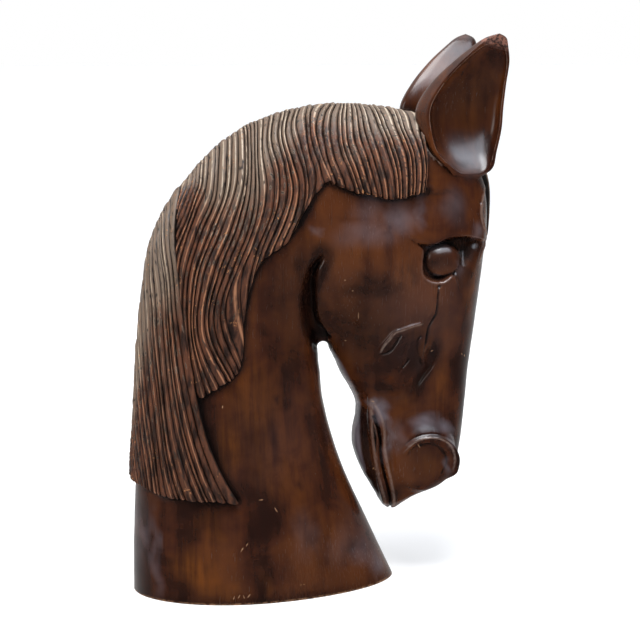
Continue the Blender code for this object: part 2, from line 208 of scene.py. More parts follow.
def locate(x, z):
    # station and q of a point given in side view
    s = np.linspace(0, len(blockShape["stations"]) - 1, samples)
    xo, zo, xi, zi, _ = spline(blockShape["stations"], s).T
    length = np.hypot(xi - xo, zi - zo)
    across = ((x - xo) * (xi - xo) + (z - zo) * (zi - zo)) / length**2
    held = np.clip(across, 0, 1)
    gap = np.hypot(x - xo - held * (xi - xo), z - zo - held * (zi - zo))
    best = np.argmin(gap)
    return s[best], np.arccos(1 - 2 * held[best]) / np.pi


# Carving of the face

faceCarving = {
    # lower edge of the brow: x, z, and how deep the wood is cut away under it
    "brow": ((104, 296, 0), (108, 294.8, 0.8), (111.6, 293.5, 2), (115.3, 291.2, 3.2),
             (119, 289.7, 4.6), (123.8, 288.7, 6), (129.1, 288.4, 7), (132.8, 289.3, 7.6),
             (137.1, 291.1, 8), (141.6, 292.9, 9), (146.6, 293.7, 10.5), (152.6, 294.1, 12),
             (159, 293.9, 12), (166.5, 292.3, 10), (172.6, 290.5, 7), (179.9, 288.4, 3),
             (184, 287, 0)),
    "browStep": (-0.9, 1.5),
    "browSwell": 2.2, "browSwellX": (98, 122, 172, 180), "browSwellFade": 36,
    # the eye hollow runs on beside the nose bridge
    "hollow": ((104, 300), (106, 294.5), (111, 291.5), (116, 288.4), (120.6, 285.6), (121.2, 282),
               (120.4, 275), (120.3, 269), (121.3, 264.2), (124, 260.4), (128.5, 258), (134.2, 257),
               (139.1, 257.8), (142.4, 259.8), (145, 261.5), (147.5, 260), (149.5, 253),
               (152.5, 246), (157, 250), (160.6, 256), (164.5, 264), (168, 272), (171.5, 280),
               (176, 284.5), (184, 285), (190, 300), (150, 312)),
    "hollowSlope": ((116, 121.5, 126, 140, 149, 156, 170), (1.2, 1.6, 3.4, 4.6, 5, 9, 12)),
    "hollowShallower": ((0, 12, 26, 45), (1, 0.92, 0.42, 0.2)), "bridgeSide": (143, 152),
    # the nostril: a flat disc in a bevelled ring, with a shelf above the ring
    "nostril": (131, 102), "rim": 24, "band": (6.6, 130, 3.2),
    "face": 2, "bevel": 2.2, "step": 3.0,
    "ringOpens": ((-46, -18), (132, 162)),
    "shelf": ((-40, 20, 35, 65, 82, 100, 125, 150, 175), (4, 4, 6, 10, 15, 17, 17, 11, 6)),
    "lip": (0.9, 1.7), "lipFoot": (-0.7, 2.6, 1.4),
    # lines left standing, or cut if below 0: path, height, half width, share each end fades
    "lines": (
        ("lid", ((121, 284), (120, 275), (119.9, 269), (120.8, 264), (123.8, 259.9),
                 (128.4, 257.4), (134.2, 256.3), (139.3, 257.1), (142.8, 259.4), (145.8, 262.6)),
         0.8, 1.5, 0.12),
        ("tear", ((134, 252.3), (133.5, 243), (133.1, 232.7), (129.6, 225.4), (126.6, 218.9),
                  (125.4, 209.3), (125, 205.5)), -1.5, 1.3, 0.1),
        ("tearBank", ((130.6, 251), (131, 241), (129.4, 233), (125.6, 224)), 0.8, 2.8, 0.3),
        ("crest", ((121.4, 223.6), (119.4, 223), (112.2, 221.3), (104.9, 218.5), (98.9, 216.2),
                   (94.6, 210.7), (89.7, 204), (88.4, 200)), 1.1, 2.3, 0.12),
        ("crestBead", ((104, 214.6), (99, 211.6), (95, 205.6), (91, 201)), 0.6, 3.2, 0.3),
        ("crease", ((104.4, 214.6), (102.9, 212.8), (99.6, 207.2), (95.5, 200.9), (91.2, 198.6),
                    (88, 197.8)), -1.2, 1.2, 0.14),
        ("nickOne", ((108.4, 209), (107.6, 204), (106, 198)), -0.7, 1.0, 0.3),
        ("nickTwo", ((112, 196), (108.6, 190.6), (105, 185.6)), -1.3, 1.1, 0.25),
        ("foldBack", ((121.9, 213), (118.5, 211.6), (117.4, 205), (118.4, 198.2), (120.2, 194.2),
                      (123.8, 186.4)), -1.2, 1.2, 0.12),
        ("foldFront", ((122.4, 209), (122, 200), (124.2, 191), (126.6, 185)), 1.0, 1.7, 0.2),
        ("lowerLip", ((84, 157), (84.2, 141), (84.5, 132), (85.3, 124.5), (86.8, 112.7),
                      (89.6, 96.7), (93.5, 82.2), (97, 71.4), (101, 58)), 1.5, 3.6, 0.1),
        ("upperLip", ((85.6, 155), (88.4, 149.6), (91.4, 142.5), (93.2, 134.4), (94, 127.9),
                      (94.2, 121.2), (95, 113.2), (97, 103.2), (99.4, 93.2), (102, 82.7),
                      (104.6, 72), (107, 60)), 1.6, 3.2, 0.1),
        ("lipValley", ((89.6, 154), (94.6, 142.4), (98.2, 133.4), (99, 125), (99.6, 116.2),
                       (101.5, 103), (103.6, 92)), -1.2, 3.4, 0.25),
        ("tongue", ((87.1, 139), (88.6, 129.7), (89.6, 122.1), (89.4, 114.7), (90.2, 107),
                    (92, 97), (94.6, 87)), 0.8, 1.4, 0.2),
        ("gum", ((86.3, 144.4), (86.2, 141.7), (86.9, 131.7), (87.5, 122.5), (87.6, 113.5)),
         -1.2, 0.9, 0.2),
        ("slit", ((86.5, 145), (87.4, 141.4), (89.5, 134.9), (90.9, 128.5), (91.8, 120.3),
                  (91.9, 112.4), (93.3, 102.5), (96.2, 90.3), (99.5, 79.5), (101.9, 70.8),
                  (104, 60), (105.4, 52)), -1.9, 1.1, 0.08),
        ("forelockEdge", ((181, 338), (175.3, 329.1), (172.3, 320.6), (170.8, 311.9),
                          (173.2, 301.9), (176.2, 297.8), (178.4, 292.4), (178.2, 285.1),
                          (174.6, 280.4), (173, 272)), 1.0, 1.6, 0.12),
        ("scratch", ((168, 321.4), (171.5, 321), (175, 321.6)), -0.6, 0.8, 0.3),
    ),
    # one-sided cuts: path, then depths, widths to the left and widths to the right along it
    "steps": (
        ("throat", ((40, 284), (38.6, 277.5), (34.6, 268.5), (33.6, 254.2), (35.6, 234.6),
                    (39.7, 220.9), (46, 208)),
         (-0.5, -5, -8, -9, -9, -9, -8), (1.6, 1.6, 1.6, 2, 2, 3, 4), (2, 5, 10, 14, 16, 16, 14)),
        ("cheekEdge", ((153, 232), (149.5, 226), (141.9, 217), (136.2, 206.5), (134.6, 197.5),
                       (132.2, 186.9), (126, 178), (121, 169.6), (117, 158), (114.5, 148)),
         (0, -0.8, -1.6, -2.4, -3, -3.8, -3.8, -3, -1.6, 0), (12, 10, 7, 4, 3, 2.6, 2.4, 2.6, 5, 8),
         (12, 13, 15, 16, 17, 18, 18, 17, 15, 12)),
        ("underFrontLock", ((125, 331), (119, 330.6), (112, 328.6), (103.5, 326.6), (95.5, 326),
                            (85, 327.4), (69, 331), (57, 335.4), (47, 339.4)),
         (-3.4,) * 6 + (-2.6, -1.4, -0.3), (30, 32, 34, 34, 34, 32, 28, 24, 16), (7,) * 9),
        ("underNeckLock", ((44, 342), (35, 333), (26, 318), (11, 296), (-2, 286.6), (-13, 277),
                           (-20.5, 258), (-25.6, 238), (-28, 215), (-30, 195), (-38, 186.6),
                           (-46, 180), (-56, 175)),
         (-0.3, -1.4) + (-2,) * 11, (12,) * 13, (7,) * 13),
        ("underBackLock", ((-70, 215), (-68, 196), (-63.6, 170), (-56.5, 134.5), (-46, 106),
                           (-33, 84)),
         (-1.4,) * 6, (9,) * 6, (7,) * 6),
        ("maneCut", ((-33, 84), (-48, 86), (-64, 87), (-82, 88.5), (-96, 91), (-110.5, 97)),
         (-1.6,) * 6, (7,) * 6, (9,) * 6),
        ("chinSide", ((80.6, 162), (80.8, 155), (81.7, 140.6), (83.1, 122), (86, 102), (91, 81.3),
                      (95, 70), (99, 58)),
         (0, -1.6, -2.6, -2.8, -2.8, -2.4, -2, -1), (1.4,) * 8, (9, 10, 12, 12, 12, 12, 12, 12)),
    ),
    # soft swellings, or hollows if below 0: centre x, z, reach in x and z, height
    "swellings": (
        (84, 272, 54, 40, 3.4),
        (60, 212, 38, 40, -4.2),
        (110, 196, 30, 34, 3.4),
        (134.6, 254.4, 2.4, 3.2, -2.4),
        (129.5, 196, 5, 9, -1.3),
        (93.6, 172.7, 11, 8, -2.6),
        (102, 166.7, 10, 7, -2.2),
        (67, 219.3, 7, 7, -1.8),
        (97, 137, 24, 25, 4.6),
        (85, 158, 9, 7, 1.0),
        (142, 130, 26, 26, 2.0),
    ),
}


def browAndEye(x, z):
    carve = faceCarving
    edgeX, edgeZ, depths = np.transpose(carve["brow"])
    drop = np.interp(x, edgeX, edgeZ) - z
    depth = np.interp(x, edgeX, depths, left=0, right=0)
    slope = np.interp(x, *carve["hollowSlope"])
    hollow = ramp(0, 1, within(x, z, carve["hollow"]) / slope)
    beside = ramp(*carve["bridgeSide"], x)
    depth *= 1 - beside * (1 - np.interp(drop, *carve["hollowShallower"]))
    swell = ramp(*carve["browSwellX"][:2], x) * (1 - ramp(*carve["browSwellX"][2:], x))
    swell *= (1 - ramp(0, carve["browSwellFade"], -drop)) * ramp(-3, 0, -drop)
    return carve["browSwell"] * swell - depth * ramp(*carve["browStep"], drop) * hollow


def nostrilShape(x, z):
    carve = faceCarving
    centreX, centreZ = carve["nostril"]
    away = np.hypot(x - centreX, z - centreZ) - carve["rim"]
    angle = np.degrees(np.arctan2(z - centreZ, x - centreX))
    angle = np.where(angle < -100, angle + 360, angle)
    opens, closes = carve["ringOpens"]
    ring = ramp(*opens, angle) * (1 - ramp(*closes, angle))
    band, bandEnd, bandThin = carve["band"]
    band = band - bandThin * ramp(60, bandEnd, angle)
    top = carve["bevel"] + carve["step"]
    shelf = np.interp(angle, *carve["shelf"])
    outside = (carve["face"] + top * ring) * np.clip(1 - away / shelf, 0, 1) ** 1.3
    bevel = carve["bevel"] * np.clip(-away / band, 0, 1)
    floor = carve["step"] * ramp(0, 0.9, -away - band)
    inside = carve["face"] + ring * (top - bevel - floor)
    height = np.where(away > 0, outside, inside)
    lipHeight, lipWidth = carve["lip"]
    height += lipHeight * ring * (1 - ramp(0, lipWidth, np.abs(away)))
    footDepth, footAt, footWidth = carve["lipFoot"]
    return height + footDepth * ring * (1 - ramp(0, footWidth, np.abs(away - footAt)))


def relief(x, z):
    height = browAndEye(x, z) + nostrilShape(x, z)
    for _, path, rise, width, fade in faceCarving["lines"]:
        height += rise * lineShape(x, z, path, width, fade)
    for _, path, depths, left, right in faceCarving["steps"]:
        height += stepShape(x, z, path, depths, left, right)
    for *place, rise in faceCarving["swellings"]:
        height += rise * mound(x, z, *place)
    return height


def toolMarks(s, q):
    # long shallow facets left by the scraper on the plain wood
    facets = waves(s * 5 + 3 * np.abs(q), 3) * waves(q * 9 + s, 4)
    return blockShape["scraped"] * (np.clip(facets, -1, 1) - 1)


# Mesh helpers

def gridOf(points, thick=False):
    # a grid laid on a table of points; a thick one is a closed slab with two layers of points
    layers = points if thick else points[None]
    rows, columns = layers.shape[1:3]
    bm = bmesh.new()
    bmesh.ops.create_grid(bm, x_segments=columns - 1, y_segments=rows - 1, size=1)
    if thick:
        raised = bmesh.ops.extrude_face_region(bm, geom=bm.faces[:], use_keep_orig=True)
        top = [part for part in raised["geom"] if isinstance(part, bmesh.types.BMVert)]
        bmesh.ops.translate(bm, verts=top, vec=(0, 0, 1))
        bmesh.ops.recalc_face_normals(bm, faces=bm.faces)
    for vert in bm.verts:
        row = round((vert.co.y + 1) / 2 * (rows - 1))
        column = round((vert.co.x + 1) / 2 * (columns - 1))
        vert.co = layers[round(vert.co.z), row, column] * mm
    return bm


def faceOutwards(bm):
    if bm.calc_volume(signed=True) < 0:
        bmesh.ops.reverse_faces(bm, faces=bm.faces)


def addObject(name, bm):
    mesh = bpy.data.meshes.new(name)
    bm.to_mesh(mesh)
    bm.free()
    obj = bpy.data.objects.new(name, mesh)
    bpy.context.scene.collection.objects.link(obj)
    return obj


def applyModifiers(obj):
    graph = bpy.context.evaluated_depsgraph_get()
    mesh = bpy.data.meshes.new_from_object(obj.evaluated_get(graph))
    obj.modifiers.clear()
    old = obj.data
    obj.data = mesh
    bpy.data.meshes.remove(old)


def combine(obj, others, operation, keep=False):
    for other in others:
        joined = obj.modifiers.new(other.name, "BOOLEAN")
        joined.operation = operation
        joined.solver = "MANIFOLD"
        joined.object = other
    applyModifiers(obj)
    if not keep:
        for other in others:
            bpy.data.objects.remove(other, do_unlink=True)


def vertexTable(mesh):
    co = np.empty(len(mesh.vertices) * 3, np.float32)
    mesh.vertices.foreach_get("co", co)
    normal = np.empty(len(mesh.vertices) * 3, np.float32)
    mesh.vertices.foreach_get("normal", normal)
    ends = np.empty(len(mesh.edges) * 2, np.int32)
    mesh.edges.foreach_get("vertices", ends)
    return co.reshape(-1, 3).astype(float), normal.reshape(-1, 3).astype(float), ends.reshape(-1, 2)


def spread(values, ends, rounds):
    # each round takes the mean of a vertex and its neighbours
    count = 1 + np.bincount(ends.ravel(), minlength=len(values))
    for _ in range(rounds):
        total = values + np.bincount(ends[:, 0], values[ends[:, 1]], len(values))
        total += np.bincount(ends[:, 1], values[ends[:, 0]], len(values))
        values = total / count
    return values


def bendOf(mesh, rounds):
    # above 0 in hollows and creases, below 0 on ridges and edges
    co, normal, ends = vertexTable(mesh)
    a, b = ends.T
    gap = co[b] - co[a]
    shortest = 0.6 * mm  # shorter edges count as this long
    square = np.maximum((gap**2).sum(1), shortest**2)
    total = np.bincount(a, (normal[a] * gap).sum(1) / square, len(co))
    total += np.bincount(b, -(normal[b] * gap).sum(1) / square, len(co))
    count = np.maximum(np.bincount(ends.ravel(), minlength=len(co)), 1)
    return spread(total / count * mm, ends, rounds)


def addAttribute(mesh, name, values):
    layer = mesh.attributes.new(name, "FLOAT", "POINT")
    layer.data.foreach_set("value", np.ascontiguousarray(values, np.float32))


def smoothShade(mesh, angle):
    mesh.shade_smooth()
    mesh.set_sharp_from_angle(angle=math.radians(angle))


# Ears and eyes

earShape = {
    # height, middle x, half width, rim from the middle plane, bulge of the back
    "rows": (
        (312, 156, 0, 26, 0),
        (327, 157, 6, 31, 12),
        (340, 159, 11, 36, 18),
        (349, 161, 19, 41.5, 20),
        (362, 157, 27, 40, 20),
        (380, 157, 32, 37, 19.5),
        (398, 157.5, 33, 36.5, 21),
        (417, 163.5, 28.5, 37.5, 18.5),
        (434, 171.5, 21.5, 40.5, 13.5),
        (447, 177.5, 13, 43, 9.5),
        (453.5, 180.5, 7.5, 44.5, 6),
        (456.8, 181.5, 0, 45.5, 0),
    ),
    "hollow": (
        (344, 162, 6, 41.5, 0),
        (349, 161, 15, 41.5, 5),
        (362, 157, 24.3, 40, 12),
        (380, 157, 29.6, 37, 15),
        (398, 157.5, 30.8, 36.5, 15),
        (417, 163.5, 26.4, 37.5, 12),
        (434, 171.5, 19, 40.5, 8),
        (446, 177, 9.5, 43, 4),
        (450, 178.5, 0, 43.8, 0),
    ),
    "square": 0.2, "wider": 0.25,  # the rear edge of the back
    "turn": 0.12,  # the open side looks a little forward
    "swell": 1.2,  # the flat side bulges this much before it is hollowed
    "reach": 9,  # the scoop stands this far out of the hollow
    "spare": 1.0, "middle": 400,  # the mane is cleared this much wider all round this height
    "segments": 96, "rings": 72,
}

eyeShape = {
    "centre": (138.8, 274.8, 36.2),  # x, z and distance from the middle plane
    "size": (16.4, 10.6, 14.4),
    "segments": 64, "rings": 36,
}


def earForm(name, side, rows, square, wider, swell):
    ear = earShape
    bm = bmesh.new()
    bmesh.ops.create_uvsphere(bm, u_segments=ear["segments"], v_segments=ear["rings"], radius=1)
    for vert in bm.verts:
        x, y, z = vert.co
        ring = math.hypot(x, y)
        share = math.asin(max(-1, min(1, z))) / math.pi + 0.5
        height, middle, halfWidth, rim, bulge = spline(rows, share * (len(rows) - 1))
        across, deep = (x / ring, y / ring) if ring > 0.001 else (0, 0)
        if across < 0 and deep > 0:
            across = -(-across) ** square * (1 + wider * deep)
        reach = max(halfWidth, 0) * across
        depth = bulge * deep**0.8 if deep > 0 else swell * deep
        x = middle + reach - ear["turn"] * depth
        y = side * (rim - ear["turn"] * reach - depth)
        vert.co = Vector((x, y, height)) * mm
    faceOutwards(bm)
    return addObject(name, bm)


def eyeBall(name, side):
    bm = bmesh.new()
    eye = eyeShape
    bmesh.ops.create_uvsphere(bm, u_segments=eye["segments"], v_segments=eye["rings"], radius=mm)
    bmesh.ops.scale(bm, verts=bm.verts, vec=eye["size"])
    x, z, y = eye["centre"]
    bmesh.ops.translate(bm, verts=bm.verts, vec=Vector((x, side * y, z)) * mm)
    return addObject(name, bm)


# The head

def outerSteps():
    shape = blockShape
    below = shape["stations"][1][1] - shape["stations"][0][1]
    fine = np.linspace(shape["foot"] - shape["waste"] / below, shape["lips"], samples)
    outer = spline(shape["stations"], fine)[:, :2]
    apart = np.hypot(*np.diff(outer, axis=0).T)
    middle = (fine[1:] + fine[:-1]) / 2
    step = np.where(middle < shape["poll"], shape["neckStep"],
                    np.where(middle < shape["faceFrom"], shape["pollStep"], shape["faceStep"]))
    run = np.concatenate([[0], np.cumsum(apart / step)])
    return np.interp(np.linspace(0, run[-1], round(run[-1]) + 1), run, fine)


def makeHead():
    shape = blockShape
    s = outerSteps()[:, None]
    q = np.linspace(-1, 1, shape["across"] + 1)[None, :]
    plain = block(s, q)
    height = relief(plain[..., 0], plain[..., 2]) + toolMarks(s, q)
    bm = gridOf(plain + outward(s, q) * height[..., None])
    bmesh.ops.smooth_vert(bm, verts=[vert for vert in bm.verts if not vert.is_boundary], factor=0.5,
                          use_axis_x=True, use_axis_y=True, use_axis_z=True)
    bmesh.ops.remove_doubles(bm, verts=bm.verts, dist=0.02 * mm)
    bmesh.ops.holes_fill(bm, edges=bm.edges, sides=0)
    cut = bmesh.ops.bisect_plane(bm, geom=bm.verts[:] + bm.edges[:] + bm.faces[:], dist=1e-7,
                                 plane_co=(0, 0, 0), plane_no=(0, 0, -1), clear_outer=True)
    sawn = [edge for edge in cut["geom_cut"] if isinstance(edge, bmesh.types.BMEdge)]
    bmesh.ops.holes_fill(bm, edges=sawn, sides=0)
    bmesh.ops.triangulate(bm, faces=[face for face in bm.faces if len(face.verts) > 4])
    bmesh.ops.recalc_face_normals(bm, faces=bm.faces)
    faceOutwards(bm)
    head = addObject("carved_head", bm)
    thin = head.modifiers.new("thin", "DECIMATE")
    thin.ratio = shape["triangles"] / (2 * len(head.data.polygons))
    applyModifiers(head)
    helpers = []
    for side, which in ((-1, "right"), (1, "left")):
        helpers.append(eyeBall(which + "_eye", side))
        helpers.append(earForm(which + "_ear", side, earShape["rows"], earShape["square"],
                               earShape["wider"], earShape["swell"]))
    combine(head, helpers, "UNION")
    return head


def scoopEars(head, locks):
    # the gouge that hollows an ear also clears the mane out of it, a little wider
    for pieces, spare in (([head], 0), (locks, earShape["spare"])):
        hollow = [(z + spare * np.sign(z - earShape["middle"]), x, half + spare * (half > 0), rim,
                   bulge + spare * (half > 0)) for z, x, half, rim, bulge in earShape["hollow"]]
        scoops = [earForm(which + "_scoop", side, hollow, 1, 0, earShape["reach"])
                  for side, which in ((-1, "right"), (1, "left"))]
        for piece in pieces:
            combine(piece, scoops, "DIFFERENCE", keep=True)
        for scoop in scoops:
            bpy.data.objects.remove(scoop, do_unlink=True)


# The mane

# Each row is one strand: six places along it in side view, as x and z, from the crest of the
# neck to its tip. The strands between are filled in, and the other side is the same.
maneShape = {
    "front": (
        ((128, 384), (125.5, 377), (124.6, 367), (124.8, 356), (124, 345), (122, 332)),
        ((114, 390), (114.6, 381), (117.2, 370), (119.8, 358), (120.4, 346), (118.4, 331)),
        ((104, 391.5), (105.6, 383), (108.8, 371), (111.8, 359), (112.8, 345), (111.6, 329)),
        ((82, 396), (84.5, 385), (87.6, 371), (91, 357), (93.8, 343), (95.6, 326.5)),
        ((64, 397), (58.5, 388), (57.4, 374), (60.4, 360), (64.6, 346), (69, 331)),
        ((52, 397), (43.5, 391), (39.2, 377.5), (41, 363), (44.4, 351), (47.6, 338.5)),
        ((45, 397), (37, 392), (34, 380.5), (35.6, 368), (39.5, 356), (44.6, 342)),
        ((36, 396), (31, 388.5), (29, 376), (30.6, 361), (34.6, 346), (35, 333)),
        ((23, 393), (16, 379), (18.4, 360), (22.8, 338.5), (20, 317), (11, 296)),
        ((11.5, 390), (5, 372.5), (9, 349.5), (7.6, 326), (-2, 302), (-13, 277)),
        ((5.5, 388.5), (-0.8, 368), (3.6, 343.5), (-0.2, 318), (-13, 288), (-21, 257)),
        ((-0.5, 386.5), (-6, 361), (-4, 334.5), (-9.6, 306), (-25, 271), (-26.4, 232)),
        ((-7, 384), (-11.6, 353), (-15, 314), (-30, 274.5), (-41.5, 234), (-30, 195)),
        ((-21.5, 377), (-26.4, 345.5), (-40.5, 305.5), (-56.5, 266), (-61.5, 223), (-46, 180)),
        ((-37, 365), (-43, 334), (-58, 298.5), (-69, 259.5), (-69.5, 220.5), (-64, 172)),
        ((-39, 364), (-45, 334), (-60, 299), (-71, 262), (-72.4, 232), (-67.5, 196)),
        ((-49, 353.5), (-53.4, 340), (-59, 325), (-65.4, 310), (-71, 297), (-76, 284)),
        ((-60, 342), (-62.4, 337), (-65.4, 330.6), (-68.4, 324.4), (-71, 318.4), (-73, 312)),
        ((-67, 334), (-68.4, 331.4), (-69.6, 328.6), (-70.6, 325.8), (-71.6, 323), (-72.6, 320)),
    ),
    "back": (
        ((-67, 333), (-76, 285), (-72.4, 234.5), (-66.4, 185), (-56.5, 134.5), (-33, 84)),
        ((-78, 316), (-81, 277), (-79, 230.5), (-73.8, 181.5), (-64.4, 132), (-48, 86)),
        ((-84, 304), (-87, 266), (-86.6, 222.5), (-83.6, 176.5), (-77, 131), (-64, 87)),
        ((-92, 282), (-95, 246.5), (-95, 208), (-93, 167), (-89.5, 127), (-82, 88.5)),
        ((-101, 223), (-102, 198), (-101.5, 170.5), (-100.5, 143), (-98.5, 116), (-96, 91)),
        ((-107, 160), (-107.4, 148), (-107.2, 136), (-106.8, 123), (-106.2, 110), (-105, 95)),
        ((-110, 108), (-110.3, 106), (-110.5, 104), (-110.6, 102), (-110.6, 100), (-110.5, 97)),
    ),
    "along": 200,  # places kept along a strand
    "beyond": 1.06,  # a strand is worked out this far past its tip
    # width of a strand, how much the widths differ, sideways wandering, rubbed lines, lift
    "frontStrand": (4.9, 0.42, 0.8, 1.0, 0), "backStrand": (4.5, 0.5, 1.3, 0.6, 1.6),
    "finer": 6,  # the lock's width is measured at this many places for every row
    "fullWidth": 70,  # what counts is the width that this percentage of it stays under
    # share of the way across a strand, and height there in groove depths
    "profile": ((0, -1), (0.09, -0.55), (0.22, -0.1), (0.38, 0.04), (0.55, -0.1), (0.76, -0.24),
                (0.92, -0.62)),
    "crest": 0.38,
    "depth": 2.1, "height": 4.2, "sunk": 6.5, "rough": 0.28,
    "deep": (0.9425, 0.1575, 1.15),  # usual share of the depth, how it varies, and the most
    # what wanders: its waves across the strands and along them, and its own seed
    "waves": {"drift": (0.35, 6, 1), "cut": (0.5, 9, 3), "rough": (7.3, 45, 4)},
    "stand": (-0.5, 0.2), "leastWorn": 0.25,  # how strands differ in height and in wear
    "steps": 120,  # faces along a strand, from one side over the crest to the other
    # the ends of the strands are rounded, uneven in length and thinned
    "tipLength": 0.8, "tipLengths": (-1, 0.6), "tipRound": 1.6, "tipFrom": 0.7,
    "thin": (0.985, 0.2),
}

forelockShape = {
    "from": 10.6, "to": 14.8,  # stations
    "halfWidth": 0.1, "tip": 0.25, "strands": 10, "steps": 60,
    "uneven": 0.4, "rubbed": 0.6, "shallower": 0.8, "dusty": 0.3,
    "tucked": (4, 0.06, 0.2),  # how much lower it starts, and where it has come up again
}


def strandColumns(count, uneven, rubbed, seed):
    # For every column of the mesh: its place across the lock counted in strands, how low it is
    # cut, how far its strand stands out, how much of a worn crest line it carries, its strand,
    # and its share of the way across that strand.
    mane = maneShape
    draw = np.random.default_rng(seed)
    widths = 1 + uneven * draw.uniform(-1, 1, count)
    starts = np.concatenate([[0], np.cumsum(widths)])
    starts *= count / starts[-1]
    stand = draw.uniform(*mane["stand"], count)
    worn = rubbed * draw.uniform(mane["leastWorn"], 1, count)
    columns = []
    for k in range(count):
        for share, low in mane["profile"]:
            place = starts[k] + share * (starts[k + 1] - starts[k])
            crest = worn[k] if share == mane["crest"] else 0
            columns.append((place, low, stand[k] * (1 + low), crest, k, share))
    columns.append((starts[-1], -1, 0, 0, count - 1, 1))
    return np.transpose(columns)[..., None]


def strandTable(rows):
    # station and q at equal steps along every given strand, mirrored over the crest
    table = []
    for places in rows:
        line = [np.array(locate(x, z)) for x, z in places]
        line[0][1] = 0
        line = [line[1] * (1, -1)] + line + [2 * line[-1] - line[-2]]
        last = maneShape["along"]
        steps = np.arange(int(maneShape["beyond"] * last) + 2)
        table.append(spline(line, 1 + steps / last * (len(places) - 1)))
    return np.array(table)


def follow(table, place, v):
    # v runs from -1 at the left tip over the crest at 0 to 1 at the right tip
    place, v = np.broadcast_arrays(place, v)
    at = np.minimum(np.abs(v) * maneShape["along"], table.shape[1] - 1.001)
    k = at.astype(int)
    part = (at - k)[..., None]
    i = np.minimum(place.astype(int), len(table) - 2)

    def row(which):
        which = np.clip(which, 0, len(table) - 1)
        return table[which, k] * (1 - part) + table[which, k + 1] * part

    between = bridge(row(i - 1), row(i), row(i + 1), row(i + 2), (place - i)[..., None])
    s, q = np.moveaxis(between, -1, 0)
    return s, q * np.sign(v)


def makeSlab(name, s, q, height, worn, low, fall):
    # A closed slab that stands this high on the block and runs down into it. The material reads
    # the worn lines, the grooves and how far down the lock a vertex is.
    ground, out = block(s, q), outward(s, q)
    top = ground + out * height[..., None]
    bm = gridOf(np.stack([ground - out * maneShape["sunk"], top]), thick=True)
    faceOutwards(bm)
    slab = addObject(name, bm)
    # each vertex finds its point of the table by place, and the underside finds none
    digits = 7
    table = np.round(top.reshape(-1, 3) * mm, digits).astype(np.float32)
    known = {point.tobytes(): k for k, point in enumerate(table)}
    places = np.round(vertexTable(slab.data)[0], digits).astype(np.float32)
    found = np.array([known.get(place.tobytes(), -1) for place in places])
    # the sides and underside count as the deepest groove, so they take the painted shade
    for layer, values, below in (("worn", worn, 0), ("groove", -low, 1.0), ("fall", fall, 0)):
        values = np.broadcast_to(values, height.shape).reshape(-1)
        addAttribute(slab.data, layer, np.where(found >= 0, values[found], below))
    return slab


def makeLock(which, seed):
    mane = maneShape
    rows = mane[which]
    widest, uneven, wander, rubbed, lift = mane[which + "Strand"]
    table = strandTable(rows)
    v = np.linspace(-1, 1, mane["steps"] + 1)[None, :]
    finer = np.linspace(0, len(rows) - 1, mane["finer"] * len(rows))
    points = block(*follow(table, finer[:, None], v))
    lies = np.gradient(points, axis=1)
    lies /= np.maximum(np.linalg.norm(lies, axis=-1, keepdims=True), 1e-9)
    apart = np.linalg.norm(np.cross(points[1:] - points[:-1], lies[:-1]), axis=-1)
    width = np.concatenate([[0], np.cumsum(np.percentile(apart, mane["fullWidth"], axis=1))])
    count = round(width[-1] / widest)
    columns, low, stand, worn, strand, share = strandColumns(count, uneven, rubbed, seed)

    def wandering(name):
        across, along, number = mane["waves"][name]
        return waves(columns * across + v * along, seed + number)

    # grooves wander a little to each side, but stay at the lock's edges
    inside = np.maximum(np.sin(np.pi * columns / count), 0) ** 0.5
    drift = wandering("drift") * inside * wander / widest
    place = np.interp((columns + drift) / count * width[-1], width, finer)
    lengths = np.linalg.norm(np.diff(points, axis=1), axis=-1).sum(1) / 2
    length = np.interp(columns / count * width[-1], width, lengths)
    # scalloped ends
    uneven = np.random.default_rng(seed + 2).uniform(*mane["tipLengths"], count)
    longer = uneven[strand.astype(int)] + 1 - (2 * share - 1) ** 2 * mane["tipRound"]
    stretch = 1 + longer * mane["tipLength"] / length * ramp(mane["tipFrom"], 1, np.abs(v))
    s, q = follow(table, place, v * stretch)
    # the grooves are cut unevenly deep, and the slab thins at its very end
    usual, varies, deepest = mane["deep"]
    cut = mane["depth"] * np.minimum(usual + varies * wandering("cut"), deepest)
    thinFrom, thinned = mane["thin"]
    end = 1 - thinned * ramp(thinFrom, 1, np.abs(v)) ** 2
    height = mane["height"] * end + lift + cut * low + stand
    height += mane["rough"] * wandering("rough")
    return makeSlab("mane_" + which + "_lock", s, q, height, worn, low, np.abs(v))


def makeForelock():
    lock = forelockShape
    mane = maneShape
    count = lock["strands"]
    columns, low, stand, worn, *_ = strandColumns(count, lock["uneven"], lock["rubbed"], 31)
    side = 2 * columns / count - 1
    side = np.sign(side) * side**2
    u = np.linspace(0, 1, lock["steps"] + 1)[None, :]
    s = lock["from"] + (lock["to"] - lock["from"]) * u * (1 - 0.1 * np.abs(side))
    q = lock["halfWidth"] * side * (1 - (1 - lock["tip"]) * ramp(0.3, 1, u))
    # it comes out from under the front lock
    tucked, clearFrom, clearTo = lock["tucked"]
    height = mane["height"] + mane["depth"] * lock["shallower"] * low + stand
    height = height - tucked * (1 - ramp(clearFrom, clearTo, u))
    return makeSlab("forelock", s, q, height, worn, low, u * lock["dusty"])


# Wood

def newNode(tree, kind, inputs=None, **settings):
    node = tree.nodes.new("ShaderNode" + kind)
    for name, value in settings.items():
        setattr(node, name, value)
    for socket, value in (inputs or {}).items():
        if isinstance(value, bpy.types.NodeSocket):
            tree.links.new(value, node.inputs[socket])
        else:
            node.inputs[socket].default_value = value
    return node


def mathNode(tree, operation, *values, clamp=False):
    inputs = dict(enumerate(values))
    return newNode(tree, "Math", inputs, operation=operation, use_clamp=clamp).outputs[0]


